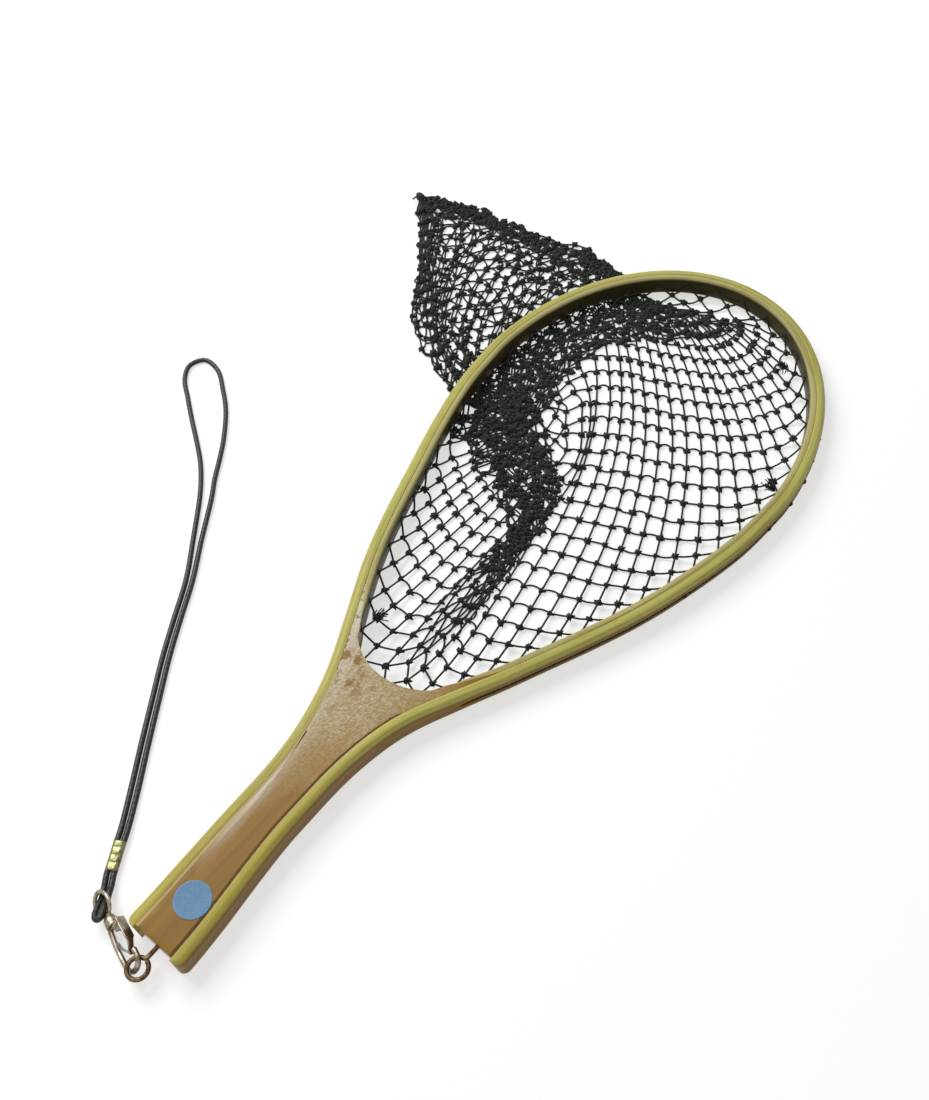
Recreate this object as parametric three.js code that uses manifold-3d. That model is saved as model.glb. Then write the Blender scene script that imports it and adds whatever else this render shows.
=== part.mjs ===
// Wooden landing net with a knotted bag, a swivel snap and a lanyard, lying flat.
// Millimetres, +Z up. The origin is the middle of the grip's underside, +X runs to the hoop's tip.
import * as THREE from 'three';
import { mergeVertices } from 'three/addons/utils/BufferGeometryUtils.js';
import Module from 'manifold-3d';

const wasm = await Module();
wasm.setup();

// Plan of the frame
const BUTT_X = -71.5;
const WAIST_X = 15;
const HOOP_WIDE_X = 335;
const TIP_X = 483;
const BUTT_HALF = 18.5;
const WAIST_HALF = 16.5;
const HOOP_HALF = 110;
const BUTT_CORNER = 4;
// Shoulders between waist and widest place: share of the length, share of the width gained
const SHOULDER = [[0.094, 0.014], [0.172, 0.061], [0.241, 0.137], [0.328, 0.28], [0.422, 0.44],
  [0.531, 0.6], [0.647, 0.746], [0.766, 0.871], [0.884, 0.963]];
// Sideways lean of the bent frame: place along X, drift along Y
const LEAN = [[BUTT_X, -2.9], [WAIST_X, 0.9], [105, 4.1], [150, 4], [235, 0.5], [TIP_X, 0.5]];

// Thicknesses of the frame
const HANDLE_THICK = 19;
const HOOP_TALL = 14;
const TAPER_START_X = 55;
const TAPER_END_X = 165;
const OUTER_STRIP = 6;
const INNER_STRIP = 3.7;
const ACCENT = 1.3;
const ACCENT_END = 0.5;
const ACCENT_END_X = 88;
const GLUE = 0.3;
const OUTER_ROUND = 4;
const INNER_ROUND = 2;
const BUTT_RECESS = 1.6;
const THROAT_X = 101.5;
const THROAT_RADIUS = 40;
const HORN_X = 132;
const MID_Z = HANDLE_THICK / 2;

// Lacing line in its groove
const GROOVE_WIDE = 2.8;
const GROOVE_DEEP = 2;
const LACING_D = 1.8;
const LACING_PROUD = 0.2;
const LACING_START_X = 122;

// Net bag
const BAG_WALL = 0.9;
const BAG_FLOOR = 0.8;
const BAG_GAP = 0.3;
const BAG_RIM_Z = MID_Z + 1;
const BAG_HEM = 2;
const MESH_PITCH = 23;
const MESH_BAR = 3.4;
const MESH_TURN = 45;
const POUCH_PAST = 31;
const POUCH_IN = 32;
const POUCH_TURN = 71;
const POUCH_LOW = 1.9;
const POUCH_CLEAR = 1;
// Rows of the bag's end: distance from its root, sideways place of the middle, half width, height
const POUCH_ROWS = [[0, -2, 80, 1.9], [18, -4, 83, 5], [46, -2, 77, 7], [62, -1, 71, 8], [84, -1, 61, 8],
  [104, -1, 49, 8], [129, 5, 34, 7], [146, 9.5, 22, 6], [166, 8, 9, 5], [178, 4, 3.5, 4]];
// Half section of the bag's end: share of the half width, share of the height
const POUCH_SECTION = [[-1, 0], [1, 0], [0.96, 0.6], [0.7, 1], [-0.7, 1], [-0.96, 0.6]];
const TIE_R = 3.4;
const TIE_AT = [182, 3];

// Screw eye
const EYE_INNER = 4;
const EYE_WIRE = 1.2;
const EYE_SHANK = 1.2;
const EYE_SHANK_DEEP = 16;
const EYE_SHANK_BARE = 6.7;
const EYE_SHANK_GAP = 0.1;
const EYE_Y = -3;

// Swivel snap, in its own frame: x along the snap, y towards the gate
const SNAP_TURN = 74;
const SNAP_TILT = 43;
const SNAP_DROOP = 5.5;
const HOOK_WIRE = 1.4;
const HOOK_BEND = 5;
const NOSE_END = 8;
const BACK_STRAIGHT_X = 12;
const BACK_RISE_X = 18;
const BACK_RISE = 0.4;
const BARREL_START = 25.5;
const BARREL_END = 30;
const BARREL_R = 3.4;
const POST_R = 1.3;
const RUNNING_GAP = 0.15;
const RIVET_R = 1.9;
const RIVET_THICK = 0.9;
const WASHER_THICK = 0.5;
const SEAT_GAP = 0.3;
const PIN_X = 22.6;
const PIN_Y = 3.7;
const PIN_R = 0.8;
const LUG_HALF = 1.2;
const LUG_WALL = 1.2;
const CHEEK = 1.1;
const CHEEK_REACH = 1.4;
const CHEEK_DROP = 0.6;
const PIN_PROUD = 0.2;
const GATE_PLATE = 1.1;
const GATE_PLATE_Y = 5.8;
const GATE_PLATE_END = 26;
const GATE_ARM_X = 13;
const GATE_TIP_X = 6.7;
const GATE_ARM_HALF = 1.7;
const SPRING_THICK = 0.4;
const SPRING_HALF = 1;
const COLLAR_R = 2.4;
const COLLAR_NOSE_R = 1.9;
const COLLAR_LONG = 1.8;
const LOOP_R = 5.4;
const LOOP_WIRE = 1;
const LOOP_STRETCH = 1.2;
const SNAP_SHIFT = [-0.75, 0.25];

// Lanyard
const CORD_D = 3.2;
const LEG_GAP = 0.35;
const CRIMP_FROM = [-58.9, 45.3];
const CRIMP_TO = [-45.6, 53.3];
const CRIMP_WALL = 0.5;
const CRIMP_Z = 2.6;
const CRIMP_PINCH = 0.5;
// Cord through the swivel eye: distance towards the crimp, height of the left leg, height of the right leg
const BIGHT_ROWS = [[9, 2.6, 3.2], [6, 2.6, 4.3], [4, 2.65, 4.6], [2, 3.3, 5.5], [0, 4.8, 6.5],
  [-3, 5.9, 8.3], [-6, 7.2, 8.9]];
const BIGHT_END = [-8.2, 0, 8.5];
const CORD_LIFT = 0.05;
// Route of the free loop on the floor, from the crimp out along one leg and back along the other
const LOOP_ROUTE = [[-23, 70.6], [-3, 84.8], [19, 100], [42, 115.8], [63, 128.8], [85, 142.2], [108, 160],
  [133.5, 180.5], [145, 191.5], [153, 200.6], [163, 214.4], [172.7, 228.4], [184, 244], [195, 258.3],
  [205.4, 264], [214.6, 259.5], [213.5, 246.4], [203.2, 230.9], [192, 217], [174, 200.8], [159.8, 190.4],
  [147.5, 182], [136.5, 173.4], [110, 155.2], [87, 138.8], [65, 125.6], [44, 112.6], [21, 96.8], [-1, 81.6],
  [-21, 67.4]];

// Sticker
const DOT_D = 19;
const DOT_THICK = 0.25;
const DOT_AT = [-45, -3.6];
const DOT_GAP = 0.1;

// Facets
const SIDE_STEPS = 44;
const BUTT_STATIONS = [0, 0.15, 0.45, 1];
const TIP_STEPS = 22;
const ROUND_STEPS = 3;
const CORD_SIDES = 8;
const HALF = 0.5;
const CUT_OVER = 1;
const ROUND_SHARE = 0.8;
const THROAT_STEPS = 16;
const ACCENT_STEPS = 20;
const HORN_STEPS = 8;
const HORN_REACH = 30;
const BEND_STEPS = 8;
const LOBE_STEPS = 6;
const LOOP_STEPS = 80;
const BIGHT_STEPS = 36;
const HOOK_STEPS = 30;
const HOOK_SIDES = 10;
const ROUND_SIDES = 20;
const RING_STEPS = 28;
const SPRING_STEPS = 4;
const TAPER_STEPS = 24;

// Materials
const finish = (color, roughness, metalness = 0) =>
  new THREE.MeshStandardMaterial({ color, roughness, metalness });
const ASH = finish(0xc4bd82, 0.45);
const PALE_ASH = finish(0xcdc7a6, 0.5);
const BROWN_CORE = finish(0x987e43, 0.45);
const DARK_ACCENT = finish(0x6b4a22, 0.45);
const TWINE = finish(0x2b302b, 0.8);
const NICKEL = finish(0xa29c90, 0.3, 1);
const DARK_STEEL = finish(0x6f6252, 0.45, 1);
const SPRING_STEEL = finish(0x8d9094, 0.35, 1);
const BLACK_CORD = finish(0x232323, 0.55);
const BRASS = finish(0xcdbf72, 0.3, 1);
const BLUE_PAPER = finish(0x6b9cc6, 0.7);

// Small curves
const smooth = (t) => {
  const s = Math.min(Math.max(t, 0), 1);
  return s * s * (3 - 2 * s);
};

function drift(x) {
  const past = LEAN.findIndex((row) => row[0] > x);
  const i = past < 0 ? LEAN.length - 1 : Math.max(past, 1);
  const [from, to] = [LEAN[i - 1], LEAN[i]];
  const share = smooth((x - from[0]) / (to[0] - from[0]));
  return from[1] + (to[1] - from[1]) * share;
}

const thickness = (x) =>
  HANDLE_THICK + (HOOP_TALL - HANDLE_THICK) * smooth((x - TAPER_START_X) / (TAPER_END_X - TAPER_START_X));

// Outer edge of the frame, from the butt's left corner round the tip to its right corner
function frameOutline() {
  const half = [];
  const gripSteps = 3;
  for (let i = 0; i < gripSteps; i += 1) {
    const t = i / gripSteps;
    half.push(new THREE.Vector2(BUTT_X + (WAIST_X - BUTT_X) * t,
      BUTT_HALF + (WAIST_HALF - BUTT_HALF) * smooth(t)));
  }
  half.push(new THREE.Vector2(WAIST_X, WAIST_HALF));
  for (const [along, across] of SHOULDER) {
    half.push(new THREE.Vector2(WAIST_X + (HOOP_WIDE_X - WAIST_X) * along,
      WAIST_HALF + (HOOP_HALF - WAIST_HALF) * across));
  }
  half.push(new THREE.Vector2(HOOP_WIDE_X, HOOP_HALF));
  const spaced = new THREE.SplineCurve(half).getSpacedPoints(SIDE_STEPS);
  const corner = BUTT_STATIONS.map((share) => new THREE.Vector2(BUTT_X + BUTT_CORNER * share, BUTT_HALF));
  const side = [...corner, ...spaced.filter((p) => p.x > BUTT_X + BUTT_CORNER * 1.5)];
  for (let i = 1; i <= TIP_STEPS; i += 1) {
    const angle = (i / TIP_STEPS) * Math.PI * HALF;
    side.push(new THREE.Vector2(HOOP_WIDE_X + (TIP_X - HOOP_WIDE_X) * Math.sin(angle),
      HOOP_HALF * Math.cos(angle)));
  }
  const left = side.map((p) => new THREE.Vector2(p.x, drift(p.x) + p.y));
  const right = side.slice(0, -1).map((p) => new THREE.Vector2(p.x, drift(p.x) - p.y)).reverse();
  return [...left, ...right];
}

// Unit normals of a polyline, to the right of its direction
function inwardNormals(points, closed = false) {
  const count = points.length;
  return points.map((point, i) => {
    const before = closed ? points[(i + count - 1) % count] : points[Math.max(i - 1, 0)];
    const after = closed ? points[(i + 1) % count] : points[Math.min(i + 1, count - 1)];
    const along = after.clone().sub(before).normalize();
    return new THREE.Vector2(along.y, -along.x);
  });
}

function offset(points, distance, closed = false) {
  const normals = inwardNormals(points, closed);
  return points.map((point, i) => point.clone().addScaledVector(normals[i], distance));
}

// Closed skin over a row of rings with as many points each
function loft(rings) {
  const sides = rings[0].length;
  const positions = rings.flat().flatMap((p) => [p.x, p.y, p.z]);
  const index = [];
  for (let i = 0; i < rings.length - 1; i += 1) {
    for (let j = 0; j < sides; j += 1) {
      const next = (j + 1) % sides;
      const [a, b] = [i * sides + j, i * sides + next];
      const [c, d] = [a + sides, b + sides];
      index.push(a, c, b, b, c, d);
    }
  }
  const lastRing = (rings.length - 1) * sides;
  for (let j = 1; j < sides - 1; j += 1) {
    index.push(0, j, j + 1);
    index.push(lastRing, lastRing + j + 1, lastRing + j);
  }
  const geometry = new THREE.BufferGeometry();
  geometry.setAttribute('position', new THREE.Float32BufferAttribute(positions, 3));
  geometry.setIndex(index);
  return outward(geometry);
}

// Turns a closed skin so that its faces point out
function outward(geometry) {
  const p = geometry.getAttribute('position');
  const index = geometry.getIndex().array;
  const [a, b, c] = [new THREE.Vector3(), new THREE.Vector3(), new THREE.Vector3()];
  let volume = 0;
  for (let i = 0; i < index.length; i += 3) {
    a.fromBufferAttribute(p, index[i]);
    b.fromBufferAttribute(p, index[i + 1]);
    c.fromBufferAttribute(p, index[i + 2]);
    volume += a.dot(b.cross(c));
  }
  if (volume < 0) {
    for (let i = 0; i < index.length; i += 3) [index[i], index[i + 1]] = [index[i + 1], index[i]];
  }
  return geometry;
}

// Solids for cutting and joining
function solid(geometry) {
  const bare = geometry.clone();
  for (const name of Object.keys(bare.attributes)) if (name !== 'position') bare.deleteAttribute(name);
  const merged = mergeVertices(bare, 1e-4);
  return new wasm.Manifold(new wasm.Mesh({
    numProp: 3,
    vertProperties: new Float32Array(merged.getAttribute('position').array),
    triVerts: new Uint32Array(merged.getIndex().array),
  }));
}

function skin(body) {
  const mesh = body.getMesh();
  const geometry = new THREE.BufferGeometry();
  geometry.setAttribute('position', new THREE.Float32BufferAttribute(mesh.vertProperties, 3));
  geometry.setIndex(new THREE.Uint32BufferAttribute(mesh.triVerts, 1));
  return geometry;
}

const shapeOf = (points) => new THREE.Shape(points.map((p) => new THREE.Vector2(p.x, p.y)));

function plate(points, low, high) {
  const geometry = new THREE.ExtrudeGeometry(shapeOf(points), { depth: high - low, bevelEnabled: false });
  return geometry.translate(0, 0, low);
}

function tube(points, radius, steps, sides = CORD_SIDES) {
  const section = new THREE.Shape();
  for (let i = 0; i < sides; i += 1) {
    const angle = ((i + HALF) / sides) * 2 * Math.PI;
    const at = [radius * Math.cos(angle), radius * Math.sin(angle)];
    if (i === 0) section.moveTo(...at);
    else section.lineTo(...at);
  }
  section.closePath();
  const extrudePath = new THREE.CatmullRomCurve3(points, false, 'centripetal');
  return new THREE.ExtrudeGeometry(section, { steps, extrudePath, curveSegments: 1 });
}

// A rod between two points
function rod(from, to, radius, sides = 16) {
  const along = to.clone().sub(from);
  const geometry = new THREE.CylinderGeometry(radius, radius, along.length(), sides);
  const upright = new THREE.Vector3(0, 1, 0);
  const turn = new THREE.Quaternion().setFromUnitVectors(upright, along.clone().normalize());
  const middle = from.clone().add(to).multiplyScalar(HALF);
  return geometry.applyQuaternion(turn).translate(middle.x, middle.y, middle.z);
}

const at = (x, y, z) => new THREE.Vector3(x, y, z);

// Frame curves shared by the wooden pieces and the bag
const outline = frameOutline();
const mouthInset = OUTER_STRIP + GLUE + INNER_STRIP;
const outlineNormals = inwardNormals(outline);
const firstPast = (x) => outline.findIndex((p) => p.x >= x);
const lastPast = (x) => outline.length - 1 - [...outline].reverse().findIndex((p) => p.x >= x);

// Section of a strip: corners on its outer or inner side are rounded
function stripRing(i, outerInset, innerInset, wantedRound, roundOuter) {
  const half = thickness(outline[i].x) * HALF;
  const round = Math.min(wantedRound, (innerInset - outerInset) * ROUND_SHARE);
  const corner = [];
  for (let k = 0; k <= ROUND_STEPS; k += 1) {
    const angle = (k / ROUND_STEPS) * Math.PI * HALF;
    corner.push([round * (1 - Math.sin(angle)), half - round * (1 - Math.cos(angle))]);
  }
  const edge = (inset) => (roundOuter ? outerInset + inset : innerInset - inset);
  const square = roundOuter ? innerInset : outerInset;
  const top = corner.map(([inset, z]) => [edge(inset), z]);
  const bottom = corner.map(([inset, z]) => [edge(inset), -z]).reverse();
  const section = [[square, half], ...top, ...bottom, [square, -half]];
  return section.map(([inset, z]) => {
    const p = outline[i].clone().addScaledVector(outlineNormals[i], inset);
    return at(p.x, p.y, MID_Z + z);
  });
}

function strip(first, last, outerInset, innerInset, round, roundOuter) {
  const rings = [];
  for (let i = first; i <= last; i += 1) {
    rings.push(stripRing(i, outerInset(i), innerInset(i), round, roundOuter));
  }
  return loft(rings);
}

// Corner of the butt, rounded in plan
const buttInset = (i) => {
  const reach = Math.min(Math.max(outline[i].x - BUTT_X, 0), BUTT_CORNER);
  const back = BUTT_CORNER - reach;
  return BUTT_CORNER - Math.sqrt(BUTT_CORNER ** 2 - back ** 2);
};

// A band round the hoop with a plain four-sided section
function hoopBand(first, last, outerInset, innerInset, halfTall) {
  const rings = [];
  for (let i = first; i <= last; i += 1) {
    const outer = outline[i].clone().addScaledVector(outlineNormals[i], outerInset);
    const inner = outline[i].clone().addScaledVector(outlineNormals[i], innerInset);
    rings.push([at(outer.x, outer.y, MID_Z + halfTall), at(outer.x, outer.y, MID_Z - halfTall),
      at(inner.x, inner.y, MID_Z - halfTall), at(inner.x, inner.y, MID_Z + halfTall)]);
  }
  return loft(rings);
}

// A point beside the frame's edge: side 1 is left, -1 is right
function edgePoint(side, x, inset) {
  const half = outline.length >> 1;
  const row = side > 0 ? outline.slice(0, half + 1) : outline.slice(half).reverse();
  const normals = side > 0 ? outlineNormals.slice(0, half + 1) : outlineNormals.slice(half).reverse();
  const i = Math.max(row.findIndex((p) => p.x > x), 1);
  const share = (x - row[i - 1].x) / (row[i].x - row[i - 1].x);
  const normal = normals[i - 1].clone().lerp(normals[i], share).normalize();
  return row[i - 1].clone().lerp(row[i], share).addScaledVector(normal, inset);
}

// The mouth of the net: inner edge of the hoop, closed by the round throat
function mouthOutline() {
  const centre = new THREE.Vector2(THROAT_X + THROAT_RADIUS, drift(THROAT_X));
  const inside = (p) => p.x >= centre.x || p.distanceTo(centre) <= THROAT_RADIUS;
  const hoop = offset(outline, mouthInset).filter((p) => p.x > THROAT_X && inside(p));
  const from = hoop[hoop.length - 1].clone().sub(centre).angle();
  const to = hoop[0].clone().sub(centre).angle();
  const throat = [];
  for (let k = 1; k < THROAT_STEPS; k += 1) {
    const angle = from + (to - from) * (k / THROAT_STEPS);
    const spoke = new THREE.Vector2(Math.cos(angle), Math.sin(angle));
    throat.push(spoke.multiplyScalar(THROAT_RADIUS).add(centre));
  }
  return [...hoop, ...throat];
}
const mouth = mouthOutline();
const clearTop = HANDLE_THICK + CUT_OVER;

// Wooden pieces
const lacingFirst = firstPast(LACING_START_X);
const lacingLast = lastPast(LACING_START_X);

function outerLamination() {
  const bow = strip(0, outline.length - 1, buttInset, () => OUTER_STRIP, OUTER_ROUND, true);
  const groove = hoopBand(lacingFirst, lacingLast, -CUT_OVER, GROOVE_DEEP, GROOVE_WIDE * HALF);
  return skin(solid(bow).subtract(solid(groove)));
}

function innerLamination() {
  const outerFace = () => OUTER_STRIP + GLUE;
  const innerFace = () => mouthInset;
  return strip(firstPast(HORN_X), lastPast(HORN_X), outerFace, innerFace, INNER_ROUND, false);
}

const accentThick = (x) => {
  const share = (x - BUTT_X) / (ACCENT_END_X - BUTT_X);
  return ACCENT + (ACCENT_END - ACCENT) * share;
};
const coreButtX = BUTT_X + BUTT_RECESS;

function accentStrip(side) {
  const rings = [];
  for (let k = 0; k <= ACCENT_STEPS; k += 1) {
    const x = coreButtX + (ACCENT_END_X - coreButtX) * (k / ACCENT_STEPS);
    const half = thickness(x) * HALF;
    const outer = edgePoint(side, x, OUTER_STRIP + GLUE);
    const inner = edgePoint(side, x, OUTER_STRIP + GLUE + accentThick(x));
    rings.push([at(outer.x, outer.y, MID_Z + half), at(outer.x, outer.y, MID_Z - half),
      at(inner.x, inner.y, MID_Z - half), at(inner.x, inner.y, MID_Z + half)]);
  }
  return loft(rings);
}

function handleCore() {
  const places = [];
  for (let k = 0; k <= ACCENT_STEPS; k += 1) {
    const x = coreButtX + (ACCENT_END_X - coreButtX) * (k / ACCENT_STEPS);
    places.push([x, OUTER_STRIP + 2 * GLUE + accentThick(x)]);
  }
  places.push([ACCENT_END_X + GLUE, OUTER_STRIP + 2 * GLUE + ACCENT_END]);
  const hornEnd = outline[firstPast(HORN_X)].x - GLUE;
  for (let k = 0; k <= HORN_STEPS; k += 1) {
    const x = ACCENT_END_X + 2 * GLUE + (hornEnd - ACCENT_END_X - 2 * GLUE) * (k / HORN_STEPS);
    places.push([x, OUTER_STRIP + GLUE]);
  }
  const ends = (side) => edgePoint(side, hornEnd, mouthInset + INNER_STRIP);
  const left = places.map(([x, inset]) => edgePoint(1, x, inset));
  const right = places.map(([x, inset]) => edgePoint(-1, x, inset)).reverse();
  const block = plate([...left, ends(1), ends(-1), ...right], -CUT_OVER, clearTop);

  const low = [];
  const high = [];
  for (let k = 0; k <= TAPER_STEPS; k += 1) {
    const x = coreButtX + (hornEnd + HORN_REACH - coreButtX) * (k / TAPER_STEPS);
    low.push(new THREE.Vector2(x, MID_Z - thickness(x) * HALF));
    high.unshift(new THREE.Vector2(x, MID_Z + thickness(x) * HALF));
  }
  const side = plate([...low, ...high], -HOOP_HALF, HOOP_HALF).rotateX(Math.PI * HALF);
  const boreEnd = coreButtX + EYE_SHANK_DEEP + SEAT_GAP;
  const boreFrom = at(coreButtX - CUT_OVER, EYE_Y, MID_Z);
  const bore = rod(boreFrom, at(boreEnd, EYE_Y, MID_Z), EYE_SHANK + EYE_SHANK_GAP);
  const opening = plate(mouth, -2 * CUT_OVER, clearTop + CUT_OVER);
  return skin(solid(block).intersect(solid(side)).subtract(solid(opening)).subtract(solid(bore)));
}

// Net bag: rim wall and mesh floor inside the hoop, and its end lying out under the hoop
const pouchTurn = THREE.MathUtils.degToRad(POUCH_TURN);
const pouchRoot = new THREE.Vector2(HOOP_WIDE_X + POUCH_PAST, HOOP_HALF - POUCH_IN);
const pouchAlong = new THREE.Vector2(Math.cos(pouchTurn), Math.sin(pouchTurn));
const pouchAcross = new THREE.Vector2(pouchAlong.y, -pouchAlong.x);
const pouchPoint = (along, across) =>
  pouchRoot.clone().addScaledVector(pouchAlong, along).addScaledVector(pouchAcross, across);

function netBag() {
  const outerWall = plate(offset(mouth, BAG_GAP, true), 0, BAG_RIM_Z);
  const inside = plate(offset(mouth, BAG_GAP + BAG_WALL, true), -CUT_OVER, BAG_RIM_Z + CUT_OVER);
  const rings = POUCH_ROWS.map(([along, middle, half, tall]) => POUCH_SECTION.map(([across, up]) => {
    const p = pouchPoint(along, middle + half * across);
    return at(p.x, p.y, tall * up);
  }));
  const frameRoom = plate(offset(outline, -POUCH_CLEAR), POUCH_LOW, clearTop);
  const pouch = solid(loft(rings)).subtract(solid(frameRoom));
  return skin(solid(outerWall).subtract(solid(inside)).add(pouch));
}

// Room that the bag's end takes up on the floor, grown by a margin
function pouchRoom(margin) {
  const side = (across) => POUCH_ROWS.map(([along, middle, half], row) =>
    pouchPoint(row === 0 ? along - margin : along, middle + across * (half + margin)));
  return solid(plate([...side(1), ...side(-1).reverse()], -CUT_OVER, BAG_FLOOR + CUT_OVER));
}

// Whether a closed ring of points goes round a place
const encloses = (ring, place) => ring.reduce((inside, from, i) => {
  const to = ring[(i + 1) % ring.length];
  const level = (place.y - from.y) / (to.y - from.y);
  const crossed = (from.y > place.y) !== (to.y > place.y) && place.x < from.x + level * (to.x - from.x);
  return crossed ? !inside : inside;
}, false);

// Meshes of the bag's floor: a grid of square openings, set slanting inside a hem
function meshOpenings(edgeInset) {
  const hem = offset(mouth, edgeInset + BAG_HEM, true);
  const room = solid(plate(hem, -CUT_OVER, BAG_FLOOR + CUT_OVER)).subtract(pouchRoom(BAG_GAP + BAG_HEM));
  const middle = new THREE.Vector2((THROAT_X + TIP_X) * HALF, 0);
  const turn = THREE.MathUtils.degToRad(MESH_TURN);
  const side = MESH_PITCH - MESH_BAR;
  const reach = Math.ceil((TIP_X - THROAT_X) / MESH_PITCH);
  const openings = [];
  for (let i = -reach; i <= reach; i += 1) {
    for (let j = -reach; j <= reach; j += 1) {
      const place = new THREE.Vector2(i, j).multiplyScalar(MESH_PITCH).add(middle).rotateAround(middle, turn);
      if (!encloses(hem, place)) continue;
      const opening = new THREE.BoxGeometry(side, side, BAG_FLOOR + 2 * CUT_OVER);
      openings.push(solid(opening.rotateZ(turn).translate(place.x, place.y, BAG_FLOOR * HALF)));
    }
  }
  return wasm.Manifold.union(openings).intersect(room);
}

function bagFloor() {
  const edgeInset = 2 * BAG_GAP + BAG_WALL;
  const sheet = solid(plate(offset(mouth, edgeInset, true), 0, BAG_FLOOR)).subtract(pouchRoom(BAG_GAP));
  return skin(sheet.subtract(meshOpenings(edgeInset)));
}

function bagEndTie() {
  const place = pouchPoint(...TIE_AT);
  return new THREE.IcosahedronGeometry(TIE_R, 1).translate(place.x, place.y, TIE_R);
}

function lacingLine() {
  const inset = LACING_D * HALF - LACING_PROUD;
  const points = offset(outline, inset).slice(lacingFirst + 1, lacingLast);
  return tube(points.map((p) => at(p.x, p.y, MID_Z)), LACING_D * HALF, points.length - 1);
}

function dotSticker() {
  const paper = new THREE.CylinderGeometry(DOT_D * HALF, DOT_D * HALF, DOT_THICK, 32);
  return paper.rotateX(Math.PI * HALF).translate(...DOT_AT, HANDLE_THICK + DOT_GAP + DOT_THICK * HALF);
}

// Screw eye with its ring level
const eyeX = coreButtX - EYE_SHANK_BARE - EYE_INNER - 2 * EYE_WIRE;

function screwEye() {
  const ring = new THREE.TorusGeometry(EYE_INNER + EYE_WIRE, EYE_WIRE, CORD_SIDES, RING_STEPS);
  ring.translate(eyeX, EYE_Y, MID_Z);
  const shankFrom = at(eyeX + EYE_INNER + EYE_WIRE, EYE_Y, MID_Z);
  const shank = rod(shankFrom, at(coreButtX + EYE_SHANK_DEEP, EYE_Y, MID_Z), EYE_SHANK);
  return skin(solid(ring).add(solid(shank)));
}

// Swivel snap, in its own frame
function box([x0, x1], [y0, y1], [z0, z1]) {
  const block = new THREE.BoxGeometry(x1 - x0, y1 - y0, z1 - z0);
  return block.translate((x0 + x1) * HALF, (y0 + y1) * HALF, (z0 + z1) * HALF);
}

// A turned piece along x, from a closed profile of [x, radius]
function turned(profile) {
  const points = profile.map(([x, r]) => new THREE.Vector2(r, x));
  return new THREE.LatheGeometry(points, ROUND_SIDES).rotateZ(-Math.PI * HALF);
}

const cheekIn = LUG_HALF + SEAT_GAP;
const cheekOut = cheekIn + CHEEK;
const backRiseY = BACK_RISE - HOOK_BEND;
const noseUnder = HOOK_BEND - HOOK_WIRE - SEAT_GAP;
const armEnd = NOSE_END + 2 * SEAT_GAP;

function snapBody() {
  const wire = [at(NOSE_END, HOOK_BEND, 0)];
  for (let k = 0; k <= BEND_STEPS; k += 1) {
    const angle = Math.PI * (HALF + k / BEND_STEPS);
    wire.push(at(HOOK_BEND * (1 + Math.cos(angle)), HOOK_BEND * Math.sin(angle), 0));
  }
  wire.push(at(BACK_STRAIGHT_X, -HOOK_BEND, 0), at(BACK_RISE_X, backRiseY, 0));
  wire.push(at(BARREL_START + CUT_OVER, HOOK_WIRE - CUT_OVER - BARREL_R, 0));
  const hook = tube(wire, HOOK_WIRE, HOOK_STEPS, HOOK_SIDES);
  const bore = POST_R + RUNNING_GAP;
  const barrel = turned([[BARREL_START, bore], [BARREL_START, BARREL_R], [BARREL_END, BARREL_R],
    [BARREL_END, bore], [BARREL_START, bore]]);
  const lugX = [PIN_X - PIN_R - LUG_WALL, BARREL_START + CUT_OVER];
  const lugY = [BARREL_R - CUT_OVER, PIN_Y + PIN_R + LUG_WALL * HALF];
  const lug = box(lugX, lugY, [-LUG_HALF, LUG_HALF]);
  const eye = rod(at(PIN_X, PIN_Y, -cheekOut), at(PIN_X, PIN_Y, cheekOut), PIN_R + RUNNING_GAP * HALF);
  const hollow = rod(at(0, 0, 0), at(BARREL_END + CUT_OVER, 0, 0), bore, ROUND_SIDES);
  const rivetFrom = at(BARREL_START - RIVET_THICK - 2 * SEAT_GAP, 0, 0);
  const rivetRoom = rod(rivetFrom, at(BARREL_START, 0, 0), RIVET_R + SEAT_GAP, ROUND_SIDES);
  const body = solid(hook).add(solid(barrel)).add(solid(lug));
  return skin(body.subtract(solid(eye)).subtract(solid(hollow)).subtract(solid(rivetRoom)));
}

function snapGate() {
  const plateTop = GATE_PLATE_Y + GATE_PLATE;
  const thumb = box([GATE_ARM_X, GATE_PLATE_END], [GATE_PLATE_Y, plateTop], [-cheekOut, cheekOut]);
  const armRoot = GATE_ARM_X + CUT_OVER;
  const armUnder = noseUnder - GATE_PLATE;
  const profile = [[GATE_TIP_X, armUnder], [armEnd, armUnder], [armRoot, GATE_PLATE_Y], [armRoot, plateTop],
    [GATE_ARM_X, plateTop], [armEnd, noseUnder], [GATE_TIP_X, noseUnder]];
  const arm = plate(profile.map(([x, y]) => new THREE.Vector2(x, y)), -GATE_ARM_HALF, GATE_ARM_HALF);
  let gate = solid(thumb).add(solid(arm));
  for (const side of [-1, 1]) {
    const across = side > 0 ? [cheekIn, cheekOut] : [-cheekOut, -cheekIn];
    const along = [PIN_X - PIN_R - CHEEK_REACH, PIN_X + PIN_R + CHEEK_REACH];
    const tall = [PIN_Y - PIN_R - CHEEK_DROP, GATE_PLATE_Y + GATE_PLATE * HALF];
    gate = gate.add(solid(box(along, tall, across)));
  }
  const holeEnd = cheekOut + CUT_OVER;
  const hole = rod(at(PIN_X, PIN_Y, -holeEnd), at(PIN_X, PIN_Y, holeEnd), PIN_R + RUNNING_GAP);
  return skin(gate.subtract(solid(hole)));
}

function gatePin() {
  const end = cheekOut + PIN_PROUD;
  return rod(at(PIN_X, PIN_Y, -end), at(PIN_X, PIN_Y, end), PIN_R);
}

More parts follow.
